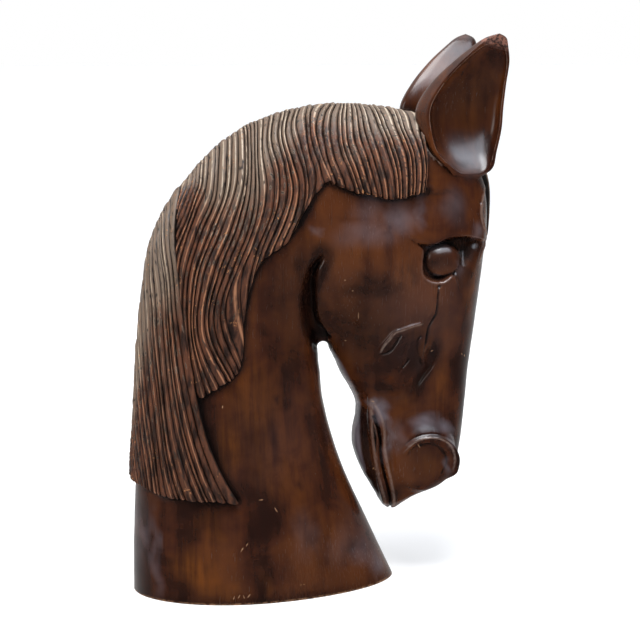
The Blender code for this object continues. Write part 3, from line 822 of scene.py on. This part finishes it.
def times(tree, first, second, clamp=False):
    return mathNode(tree, "MULTIPLY", first, second, clamp=clamp)


def blend(tree, *parts):
    # the sum of every value times its weight
    (value, weight), *others = parts
    total = times(tree, value, weight)
    for value, weight in others:
        total = mathNode(tree, "MULTIPLY_ADD", value, weight, total)
    return total


def mapRange(tree, value, low, high, toLow=0.0, toHigh=1.0):
    inputs = {0: value, 1: low, 2: high, 3: toLow, 4: toHigh}
    return newNode(tree, "MapRange", inputs, interpolation_type="SMOOTHSTEP").outputs[0]


def layOver(tree, colour, share, other, most=1.0):
    # another colour over this one, all of it where the share and most are both 1
    if most < 1:
        share = times(tree, share, most)
    return newNode(tree, "Mix", {0: share, 6: colour, 7: other}, data_type="RGBA").outputs[2]


def noises(tree, vector, look, *names):
    sockets = ("Scale", "Detail", "Roughness", "Distortion")
    return [newNode(tree, "TexNoise", dict(zip(sockets, look[name]), Vector=vector)).outputs["Fac"]
            for name in names]


def attributes(tree, *names):
    return [newNode(tree, "Attribute", attribute_name=name).outputs["Fac"] for name in names]


def newMaterial(name):
    material = bpy.data.materials.new(name)
    material.use_nodes = True
    tree = material.node_tree
    return material, tree, tree.nodes["Principled BSDF"]


woodLook = {
    "dark": (0.019, 0.0051, 0.0027, 1),
    "middle": (0.050, 0.0130, 0.0048, 1), "middleAt": 0.42,
    "light": (0.098, 0.0268, 0.0062, 1),
    "amber": (0.145, 0.040, 0.0040, 1),
    # pale wear on edges, which also serves as a painted highlight on ridges
    "worn": (0.38, 0.27, 0.22, 1),
    "chipped": (0.46, 0.25, 0.13, 1),
    # the bluish grey of the painted sheen, a reflection painted into the varnish
    "paintedSheen": (0.172, 0.155, 0.180, 1),
    # the colour of the painted shade in hollows, with some dark stain
    "shadeAndStain": (0.0075, 0.0028, 0.0024, 1),
    # the colour of the painted shade in creases and cuts
    "crease": (0.0030, 0.0013, 0.0010, 1),
    "rawDark": (0.035, 0.010, 0.007, 1),
    "rawLight": (0.30, 0.115, 0.07, 1),
    # scale, detail, roughness and distortion: three along the grain, then four that aren't
    "broad": (24, 2, 0.5, 0.3), "bands": (120, 4, 0.6, 0.2), "fibres": (800, 3, 0.6, 0),
    "clouds": (9, 2, 0.5, 0), "patches": (34, 3, 0.6, 0.4), "dashes": (260, 3, 0.6, 0),
    "speckle": (420, 4, 0.7, 0),
    "grainStretch": (1, 1, 0.06),
    # x, z, length and lean of every scuff
    "scuffs": (
        (-44.5, 162.6, 2.7, 80), (-14.7, 85.2, 4.1, 0), (-2.2, 75.8, 5, 120),
        (-31.2, 45.4, 5, 60), (-27, 49.3, 3.3, 60), (17.3, 12.5, 1.7, 0), (19.9, 12.5, 1.7, 0),
        (-38.5, 6.3, 3.3, 70), (-34.5, 7, 4.1, 60), (-30.5, 6.8, 3.3, 110), (-26.4, 7.5, 4.1, 50),
        (57.7, 260.7, 1.8, 0), (62.2, 207.5, 1.7, 0), (64.2, 251.6, 1.7, 0),
        (70.5, 229.8, 6.6, 95), (131.9, 199, 2.5, 30), (159.9, 193.9, 2.5, 110),
        (163, 192, 2.5, 110), (87.9, 96.1, 2.5, 70), (122.7, 117.8, 4.1, 125),
        (85, 155.9, 2.5, 0),
    ),
    "scuffWidth": 0.85,
    "footWorn": (0.0022, 0.0006, 0.0, 0.7),  # worn from this height down to this one
    "roughness": (0.20, 0.28),
    "specular": 0.5, "coat": 0.08, "coatRoughness": 0.12,
    "bump": (0.16, 0.0008),
    "shadeReach": 0.022, "shaded": (0.25, 0.92),
}

maneLook = {
    "dark": (0.022, 0.0085, 0.0052, 1),
    "middle": (0.112, 0.0340, 0.0125, 1),
    "dusty": (0.205, 0.146, 0.102, 1),
    "worn": (0.66, 0.54, 0.40, 1),
    "lowWorn": (0.40, 0.175, 0.085, 1),
    "orange": (0.50, 0.21, 0.075, 1),
    # the colour of the painted shade in the grooves and cuts
    "crease": (0.0060, 0.0027, 0.0020, 1),
    "clouds": (16, 3, 0.55, 0), "patches": (55, 3, 0.6, 0), "streaks": (260, 4, 0.6, 0),
    "flecks": (380, 3, 0.65, 0),
    "grainStretch": (1, 1, 0.2),
    "roughness": (0.42, 0.6),
    "specular": 0.3, "coat": 0.04, "coatRoughness": 0.25,
    "bump": (0.7, 0.0011),
    "shadeReach": 0.007, "shaded": (0.2, 0.85),
}


def shadeIn(tree, colour, look):
    # painted shade: a surface that sees little sky, as in the cuts and creases, is darkened
    # towards the crease colour
    sees = newNode(tree, "AmbientOcclusion", {"Distance": look["shadeReach"]}, samples=8)
    return layOver(tree, look["crease"], mapRange(tree, sees.outputs["AO"], *look["shaded"]), colour)


def grainVector(tree, stretch):
    where = newNode(tree, "TexCoord").outputs["Object"]
    # the fibres run up the block and lean a little forwards
    lean = {"Vector": where, "Rotation": (0.02, math.radians(-5), 0), "Scale": stretch}
    return where, newNode(tree, "Mapping", lean).outputs[0]


def varnish(tree, shader, look, colour, rough, height):
    strength, distance = look["bump"]
    bump = newNode(tree, "Bump", {"Height": height, "Strength": strength, "Distance": distance})
    tree.links.new(colour, shader.inputs["Base Color"])
    tree.links.new(rough, shader.inputs["Roughness"])
    tree.links.new(bump.outputs[0], shader.inputs["Normal"])
    shader.inputs["Specular IOR Level"].default_value = look["specular"]
    shader.inputs["Coat Weight"].default_value = look["coat"]
    shader.inputs["Coat Roughness"].default_value = look["coatRoughness"]


def chippedPlaces(tree, where, speckle):
    # scuffs on the right side, and the rubbed lower edge
    look = woodLook
    place = newNode(tree, "SeparateXYZ", {0: where})
    chip = 0.0
    for x, z, length, lean in look["scuffs"]:
        around = newNode(tree, "Mapping", {
            "Vector": where, "Location": (x * mm, 0, z * mm),
            "Rotation": (0, -math.radians(lean), 0),
            "Scale": (length / 2 * mm, 10, look["scuffWidth"] / 2 * mm)}, vector_type="TEXTURE")
        away = newNode(tree, "VectorMath", {0: around.outputs[0]}, operation="LENGTH")
        chip = mathNode(tree, "MAXIMUM", mapRange(tree, away.outputs["Value"], 1.1, 0.6), chip)
    chip = times(tree, chip, mapRange(tree, place.outputs[1], 0.01, 0.0))
    chip = times(tree, chip, mapRange(tree, speckle, 0.0, 0.8, 0.5, 1.0))
    foot = mapRange(tree, place.outputs[2], *look["footWorn"])
    return mathNode(tree, "MAXIMUM", chip, times(tree, foot, speckle))


def polishedWood():
    look = woodLook
    material, tree, shader = newMaterial("polished stained wood")
    where, grain = grainVector(tree, look["grainStretch"])
    broad, bands, fibres = noises(tree, grain, look, "broad", "bands", "fibres")
    clouds, patches, dashes, speckle = noises(tree, where, look, "clouds", "patches", "dashes",
                                              "speckle")
    speckle = mapRange(tree, speckle, 0.42, 0.6)
    amber, dark, paintedSheen, rubbed, raw, bend = attributes(tree, "amber", "dark", "paintedSheen", "rubbed",
                                                       "raw", "bend")
    tone = blend(tree, (bands, 0.16), (broad, 0.30), (clouds, 0.28), (patches, 0.26))
    ramped = newNode(tree, "ValToRGB", {0: mapRange(tree, tone, 0.40, 0.61)})
    stops = ramped.color_ramp.elements
    stops[0].color = look["dark"]
    stops[1].color = look["light"]
    stops.new(look["middleAt"]).color = look["middle"]
    streaks = mapRange(tree, blend(tree, (patches, 0.25), (bands, 0.75)), 0.38, 0.60, 0.35, 1.0)
    amber = times(tree, amber, streaks, clamp=True)
    colour = layOver(tree, ramped.outputs[0], amber, look["amber"])
    colour = layOver(tree, colour, mapRange(tree, fibres, 0.58, 0.72), look["dark"], 0.25)
    # painted shade, with some dark stain: the dark patches, lines and cuts take the darkest colour
    dark = times(tree, dark, mapRange(tree, patches, 0.35, 0.65, 1.0, 0.75))
    colour = layOver(tree, colour, dark, look["shadeAndStain"])
    colour = shadeIn(tree, colour, look)
    # painted shade: hollows and creases of the surface darkened towards the crease colour
    colour = layOver(tree, colour, mapRange(tree, bend, 0.03, 0.20), look["crease"], 0.85)
    # painted sheen: pale bluish patches that stand in for the reflection in the varnish
    paintedSheen = times(tree, paintedSheen, mapRange(tree, patches, 0.3, 0.6, 0.5, 1.0))
    colour = layOver(tree, colour, paintedSheen, look["paintedSheen"], 0.85)
    # edges rubbed pale, in dashes: wear, and a painted highlight along the ridges
    ridges = times(tree, mapRange(tree, bend, -0.10, -0.34), mapRange(tree, clouds, 0.36, 0.56))
    rubbed = mathNode(tree, "MAXIMUM", times(tree, ridges, 0.55), rubbed)
    rubbed = times(tree, rubbed, mapRange(tree, dashes, 0.36, 0.52, 0.45, 1.0))
    colour = layOver(tree, colour, rubbed, look["worn"])
    chip = chippedPlaces(tree, where, speckle)
    colour = layOver(tree, colour, chip, look["chipped"], 0.85)
    endGrain = layOver(tree, look["rawDark"], speckle, look["rawLight"])
    colour = layOver(tree, colour, raw, endGrain)
    rough = blend(tree, (clouds, 0.5), (fibres, 0.5))
    rough = mapRange(tree, rough, 0.35, 0.65, *look["roughness"])
    rough = mathNode(tree, "MULTIPLY_ADD", raw, 0.4, rough, clamp=True)
    ripple = blend(tree, (fibres, 0.12), (bands, 0.6), (chip, -0.8))
    varnish(tree, shader, look, colour, rough, ripple)
    return material


def combedWood():
    look = maneLook
    material, tree, shader = newMaterial("combed mane wood")
    where, grain = grainVector(tree, look["grainStretch"])
    clouds, patches, flecks = noises(tree, where, look, "clouds", "patches", "flecks")
    [streaks] = noises(tree, grain, look, "streaks")
    groove, worn, fall = attributes(tree, "groove", "worn", "fall")
    colour = layOver(tree, look["dark"], mapRange(tree, streaks, 0.36, 0.62), look["middle"])
    # dust and bleached wood near the crest, thinning out down the locks
    high = mapRange(tree, fall, 0.5, 0.02, 0.0, 0.6)
    dusty = mapRange(tree, mathNode(tree, "MULTIPLY_ADD", clouds, 0.7, high), 0.40, 0.86)
    colour = layOver(tree, colour, dusty, look["dusty"], 0.75)
    # the crest of each strand is rubbed pale, in dashes
    dashes = mapRange(tree, streaks, 0.34, 0.54, 0.25, 1.0)
    line = times(tree, mapRange(tree, worn, 0.12, 0.6), dashes)
    pale = layOver(tree, look["lowWorn"], dusty, look["worn"])
    colour = layOver(tree, colour, line, pale, 0.85)
    # splinters knocked off the ridges
    bare = times(tree, mapRange(tree, flecks, 0.60, 0.66), mapRange(tree, patches, 0.52, 0.62))
    bare = times(tree, bare, mapRange(tree, groove, 0.5, 0.1))
    colour = layOver(tree, colour, bare, look["orange"], 0.85)
    # painted shade in the grooves, and dark dirt in patches
    grooveShade = times(tree, mapRange(tree, groove, 0.45, 1.0), 0.92)
    soot = times(tree, mapRange(tree, patches, 0.62, 0.74), 0.6)
    colour = layOver(tree, colour, mathNode(tree, "MAXIMUM", grooveShade, soot), look["crease"])
    colour = shadeIn(tree, colour, look)
    rough = mapRange(tree, streaks, 0.3, 0.7, *look["roughness"])
    varnish(tree, shader, look, colour, rough, blend(tree, (streaks, 0.4), (flecks, 0.6)))
    return material


# patches in side view: x, z, reach x, reach z, amount. Amber patches are lighter wood; the dark
# patches are painted shade in hollows, under overhangs and on surfaces turned from the light,
# with some dark stain among them; the pale ones are painted sheen
toneShadeAndSheen = {
    "amber": (
        (67, 281, 26, 16, 0.4), (102, 266.7, 17, 26, 0.55), (28.4, 295.9, 14, 16, 0.6),
        (114.9, 217.8, 14, 10, 0.85), (123.9, 202.6, 10, 14, 0.9), (109.7, 157.7, 7, 16, 0.6),
        (141.2, 169, 12, 37, 0.7), (67.2, 189.8, 7, 18, 0.3), (130.8, 249, 8, 26, 0.45),
        (164.2, 249, 10, 35, 0.5), (136.1, 275.2, 12, 7, 0.55), (131.4, 98.7, 16, 16, 0.4),
        (167.5, 403, 26, 44, 0.5), (158, 425, 16, 30, 0.3), (90.8, 214.6, 30, 26, 0.4),
        (-54.8, 64.9, 16, 26, 0.6), (-64.9, 27.6, 30, 30, 0.95), (-44.8, 11.3, 26, 16, 0.6),
        (-39.2, 130.8, 18, 40, 0.65), (3.7, 103.5, 26, 30, 0.55), (-18, 166, 38, 48, 0.6),
        (36, 46, 34, 36, 0.4), (-13.1, 16.5, 7, 18, 0.4), (-12.8, 125.6, 23, 46, 0.4),
        (18.8, 81.3, 16, 35, 0.35), (6, 135, 26, 44, 0.3),
    ),
    # painted shade, with some dark stain
    "dark": (
        (71.3, 250.8, 30, 13, 0.9), (44.5, 234.5, 16, 9, 0.7), (70.4, 218.5, 12, 9, 0.8),
        (78.1, 190.9, 9, 30, 0.65), (75, 166.7, 12, 14, 0.55), (93.6, 167.5, 19, 9, 0.8),
        (144.8, 220.2, 13, 15, 0.45), (153.1, 261.7, 9, 18, 0.75), (114, 264.8, 6, 16, 0.5),
        (158.2, 102.1, 6, 30, 0.65), (165, 160, 8, 60, 0.45), (106.2, 74.2, 16, 14, 0.8),
        (114.9, 81.6, 26, 7, 0.55), (136.7, 219.1, 10, 11, 0.35), (59, 228.7, 23, 16, 0.45),
        (100.6, 188.4, 16, 14, 0.35), (1, 167.2, 4.4, 6.6, 0.85), (16.4, 89.7, 4.6, 5.8, 0.75),
        (31.3, 139.8, 9, 58, 0.5), (42, 117.3, 7, 52, 0.7), (-4.1, 135.3, 4, 30, 0.5),
        (67.8, 34.3, 9, 10, 0.7), (-104.3, 63.8, 14, 26, 0.6), (-110.3, 14.1, 14, 28, 0.65),
        (-16.9, 28.2, 13, 19, 0.12), (22, 262, 12, 50, 0.7), (10, 245, 26, 60, 0.45),
        (-36.8, 167.9, 6, 35, 0.3), (43.6, 28.8, 35, 16, 0.12), (26.7, 55.8, 23, 28, 0.1),
        (84, 213, 80, 60, 0.8), (104, 165, 30, 36, 0.35), (136, 275, 20, 17, 0.85),
        (131, 100, 22, 22, 0.3), (162, 285, 17, 15, 0.95), (158, 268, 11, 22, 0.85),
        (128, 286, 10, 6, 0.6), (40, 225, 12, 50, 0.8), (148, 318, 20, 24, 0.4),
        (80, 252, 36, 20, 0.85), (14, 192, 16, 46, 0.7),
    ),
    # painted sheen: pale bluish patches where the varnish would mirror the bright ceiling
    "paintedSheen": (
        (101, 310.6, 20, 19, 0.48), (118.1, 315.1, 7, 20, 0.45), (75.5, 315, 19, 18, 0.3),
        (166.5, 302.5, 8, 10, 0.55), (135.9, 283.9, 14, 5, 0.4), (127.3, 136.9, 19, 10, 0.9),
        (142.2, 131.8, 14, 8, 0.9), (148.8, 122.5, 7, 10, 0.5), (91.8, 147.5, 10, 15, 0.9),
        (86.2, 154.2, 6, 7, 0.7), (96.8, 125.2, 7, 30, 0.5), (104.3, 126.8, 10, 20, 0.3),
        (147.5, 97.5, 4, 12, 0.4), (32.4, 301.4, 7, 5, 0.4), (153.4, 268.1, 5, 10, 0.25),
        (-98.9, 38, 5.4, 52, 0.3), (-108.8, 52, 7, 35, 0.25), (77.5, 27.8, 23, 16, 0.4),
        (87.9, 14.6, 14, 10, 0.5), (22.9, 49.9, 16, 28, 0.2), (160, 362, 22, 24, 0.26),
        (146, 318, 15, 22, 0.28), (60, 40, 26, 26, 0.16), (127, 133, 13, 7, 0.5),
        (74, 298, 36, 17, 0.34), (125, 232, 60, 70, 0.07), (0, 135, 60, 70, 0.05),
    ),
}

# the same along a line: its places, how wide it is and the amount; the dark lines are painted
# shade in the jaw, nostril, cheek and throat hollows, the pale ones painted sheen on the jaw's edge
shadeAndSheenLines = {
    "dark": (
        (((78.6, 146), (79.1, 134), (79.6, 121.6), (82.6, 103), (89, 80.3), (94.5, 66)), 5.6, 0.97),
        (((123.3, 118.2), (127.4, 120), (134.6, 119.4), (141.5, 115), (146.4, 107.9),
          (147.4, 100.5), (145.2, 95), (143.6, 92)), 1.4, 0.9),
        (((136.2, 206.5), (134.6, 197.5), (132.2, 186.9), (126, 178), (121, 169.6), (117, 158)),
         8, 0.6),
        (((38, 281), (34, 268), (30, 254), (29, 240), (31, 226), (37, 213)), 15, 0.93),
    ),
    # painted sheen along the edges of the jaw
    "paintedSheen": (
        (((75.2, 151.5), (74.5, 135.8), (74.1, 123.4), (75.7, 109.1), (79.9, 93.1)), 3.6, 0.9),
        (((52.9, 196.6), (60.3, 184.6), (68.4, 167.9), (74.7, 153.7)), 2.6, 0.6),
    ),
}

# carved lines darkened with painted shade, the shadow in the cut or under the mane's edge, how
# wide it is, and how strong
shadedCuts = {"underFrontLock": 5.6, "underNeckLock": 5.2, "underBackLock": 4.4, "maneCut": 4,
            "slit": 1.0, "gum": 0.9, "crease": 1.1, "tear": 1.1}
shadeInCuts = 0.95

# where the varnish is rubbed through and where ridges carry a painted highlight: width and amount
# on lines, amount on the ears' edges
rubbedAndHighlitPlaces = {
    "ridges": {"lowerLip": (1.6, 0.22), "upperLip": (1.6, 0.25), "lid": (1.0, 0.12),
               "crest": (0.9, 0.3), "forelockEdge": (1.4, 0.35)},
    "rim": (1.1, 0.4), "rimOpens": ((-30, 0), (125, 160)),
    "ears": 0.6, "earsFrom": 352, "sharp": 38,
    # the broken tip of the right ear, from this height to this, leaning with x
    "broken": (444, 450), "brokenLean": 0.25, "brokenX": 180,
}


def sharpEdges(mesh, angle):
    # 1 for every vertex on an edge sharper than the angle
    bm = bmesh.new()
    bm.from_mesh(mesh)
    sharp = np.zeros(len(bm.verts))
    for edge in bm.edges:
        if edge.calc_face_angle(0) > math.radians(angle):
            sharp[[vert.index for vert in edge.verts]] = 1
    bm.free()
    return sharp


def paintHead(head):
    mesh = head.data
    co = vertexTable(mesh)[0] / mm
    x, z = co[:, 0], co[:, 2]
    worn = rubbedAndHighlitPlaces
    addAttribute(mesh, "bend", bendOf(mesh, 2))
    painted = {name: np.zeros(len(co)) for name in ("amber", "dark", "paintedSheen", "rubbed")}

    def line(name, path, width, amount):
        faded = 1 - ramp(0.35 * width, width, near(x, z, path, 2 * width)[0])
        painted[name] = np.maximum(painted[name], amount * faded)

    # the edges of the patches wander
    atX = x + 3 * waves(z / 14, 41) + 1.5 * waves(z / 4 + x / 9, 42)
    atZ = z + 5 * waves(x / 16, 43)
    # painted patches: amber wood, painted shade with some stain, and painted sheen
    for name, zones in toneShadeAndSheen.items():
        for *place, amount in zones:
            painted[name] = np.maximum(painted[name], amount * mound(atX, atZ, *place))
    # painted shade and painted sheen along lines
    for name, drawn in shadeAndSheenLines.items():
        for path, width, amount in drawn:
            line(name, path, width, amount)
    # painted shade along the cuts, and pale wear with a painted highlight along the ridges
    for name, path, *_ in faceCarving["steps"] + faceCarving["lines"]:
        if name in shadedCuts:
            line("dark", path, shadedCuts[name], shadeInCuts)
        if name in worn["ridges"]:
            line("rubbed", path, *worn["ridges"][name])
    # the nostril's rim and the ears' sharp edges get pale wear with a painted highlight
    nostrilX, nostrilZ = faceCarving["nostril"]
    rimGap = np.abs(np.hypot(x - nostrilX, z - nostrilZ) - faceCarving["rim"])
    angle = np.degrees(np.arctan2(z - nostrilZ, x - nostrilX))
    opens, closes = worn["rimOpens"]
    width, amount = worn["rim"]
    rim = amount * (1 - ramp(0.3 * width, width, rimGap))
    rim = rim * ramp(*opens, angle) * (1 - ramp(*closes, angle))
    ears = worn["ears"] * sharpEdges(mesh, worn["sharp"]) * (z > worn["earsFrom"])
    painted["rubbed"] = np.maximum(painted["rubbed"], np.maximum(rim, ears))
    for name, amounts in painted.items():
        addAttribute(mesh, name, amounts)
    # bare end grain where the tip of the right ear is broken
    tip = ramp(*worn["broken"], z + worn["brokenLean"] * (x - worn["brokenX"]))
    addAttribute(mesh, "raw", tip * (co[:, 1] < 0))


# Stage, light and camera

def facing(place, target):
    return (Vector(target) - Vector(place)).to_track_quat("-Z", "Y").to_euler()


floorLook = {"reach": 30, "colour": (0.84, 0.83, 0.82, 1), "roughness": 0.9, "glow": 0.35}


def makeStage():
    bm = bmesh.new()
    bmesh.ops.create_grid(bm, x_segments=1, y_segments=1, size=floorLook["reach"])
    floor = addObject("floor", bm)
    material, _, shader = newMaterial("pale floor")
    shader.inputs["Base Color"].default_value = floorLook["colour"]
    shader.inputs["Roughness"].default_value = floorLook["roughness"]
    shader.inputs["Specular IOR Level"].default_value = 0
    shader.inputs["Emission Color"].default_value = (1, 1, 1, 1)
    shader.inputs["Emission Strength"].default_value = floorLook["glow"]
    floor.data.materials.append(material)
    floor.visible_glossy = False  # mirrored in the varnish, it would hide the colour of the wood


lights = {
    # place, width, height, power, colour, and whether it lights the wood or is only mirrored
    "overhead": ((-0.15, -0.45, 1.6), 0.8, 0.8, 20, (0.97, 0.985, 1.0), True),
    "left": ((-1.7, -0.6, 0.9), 0.9, 0.9, 7, (1.0, 0.98, 0.95), True),
    "mirrored": ((0.5, -1.3, 2.0), 2.4, 1.1, 40, (0.80, 0.88, 1.0), False),
}

sky = {"front": 0.04, "back": 0.6, "top": (1.6, 1.7, 1.85, 1),
       "behind": (-0.3, 0.9), "above": (0.6, 0.95)}


lightsAim = (0.03, 0, 0.25)


def makeLights():
    for name, (place, width, height, power, colour, lighting) in lights.items():
        lamp = bpy.data.lights.new(name, "AREA")
        lamp.shape = "RECTANGLE"
        lamp.size = width
        lamp.size_y = height
        lamp.energy = power
        lamp.color = colour
        obj = bpy.data.objects.new(name, lamp)
        obj.location = place
        obj.rotation_euler = facing(place, lightsAim)
        obj.visible_diffuse = lighting
        bpy.context.scene.collection.objects.link(obj)
    world = bpy.context.scene.world or bpy.data.worlds.new("studio")
    bpy.context.scene.world = world
    world.use_nodes = True
    tree = world.node_tree
    tree.nodes.clear()
    way = newNode(tree, "SeparateXYZ", {0: newNode(tree, "TexCoord").outputs["Generated"]})
    # the studio is dim towards the front, lighter behind, and has a broad bright ceiling
    front, back = [(sky[end], sky[end], sky[end], 1) for end in ("front", "back")]
    wall = layOver(tree, front, mapRange(tree, way.outputs[1], *sky["behind"]), back)
    ceiling = mapRange(tree, way.outputs[2], *sky["above"])
    glow = newNode(tree, "Background", {"Color": layOver(tree, wall, ceiling, sky["top"])})
    plain = newNode(tree, "Background", {"Color": (1, 1, 1, 1)})
    seen = newNode(tree, "LightPath").outputs["Is Camera Ray"]
    both = newNode(tree, "MixShader", {0: seen, 1: glow.outputs[0], 2: plain.outputs[0]})
    newNode(tree, "OutputWorld", {"Surface": both.outputs[0]})


view = {"lens": 89.16, "sensor": 36, "turn": -12, "away": 1.30, "height": 0.45,
        "target": (0.045, 0, 0.222)}


def makeCamera():
    camera = bpy.data.cameras.new("camera")
    camera.sensor_width = view["sensor"]
    camera.lens = view["lens"]
    obj = bpy.data.objects.new("camera", camera)
    turn = math.radians(view["turn"])
    x, y, _ = view["target"]
    obj.location = (x + view["away"] * math.sin(turn), y - view["away"] * math.cos(turn),
                    view["height"])
    obj.rotation_euler = facing(obj.location, view["target"])
    bpy.context.scene.collection.objects.link(obj)
    bpy.context.scene.camera = obj


# Put together

def finishPiece(obj, material, angle):
    obj.data.materials.clear()
    obj.data.materials.append(material)
    smoothShade(obj.data, angle)
    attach(obj, "root")
    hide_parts(headNode)
    obj.data.calc_loop_triangles()
    print(obj.name, len(obj.data.loop_triangles), "triangles")


print("camera and lights")
makeCamera()
makeStage()
makeLights()
bpy.context.scene.view_settings.view_transform = "Standard"

print("carving the head")
head = makeHead()
print("combing the mane")
frontLock = makeLock("front", 11)
backLock = makeLock("back", 21)
forelock = makeForelock()
scoopEars(head, (frontLock, forelock))
print("staining and varnishing")
paintHead(head)
finishPiece(head, polishedWood(), 50)
combed = combedWood()
for lock in (frontLock, backLock, forelock):
    finishPiece(lock, combed, 60)

print("done")
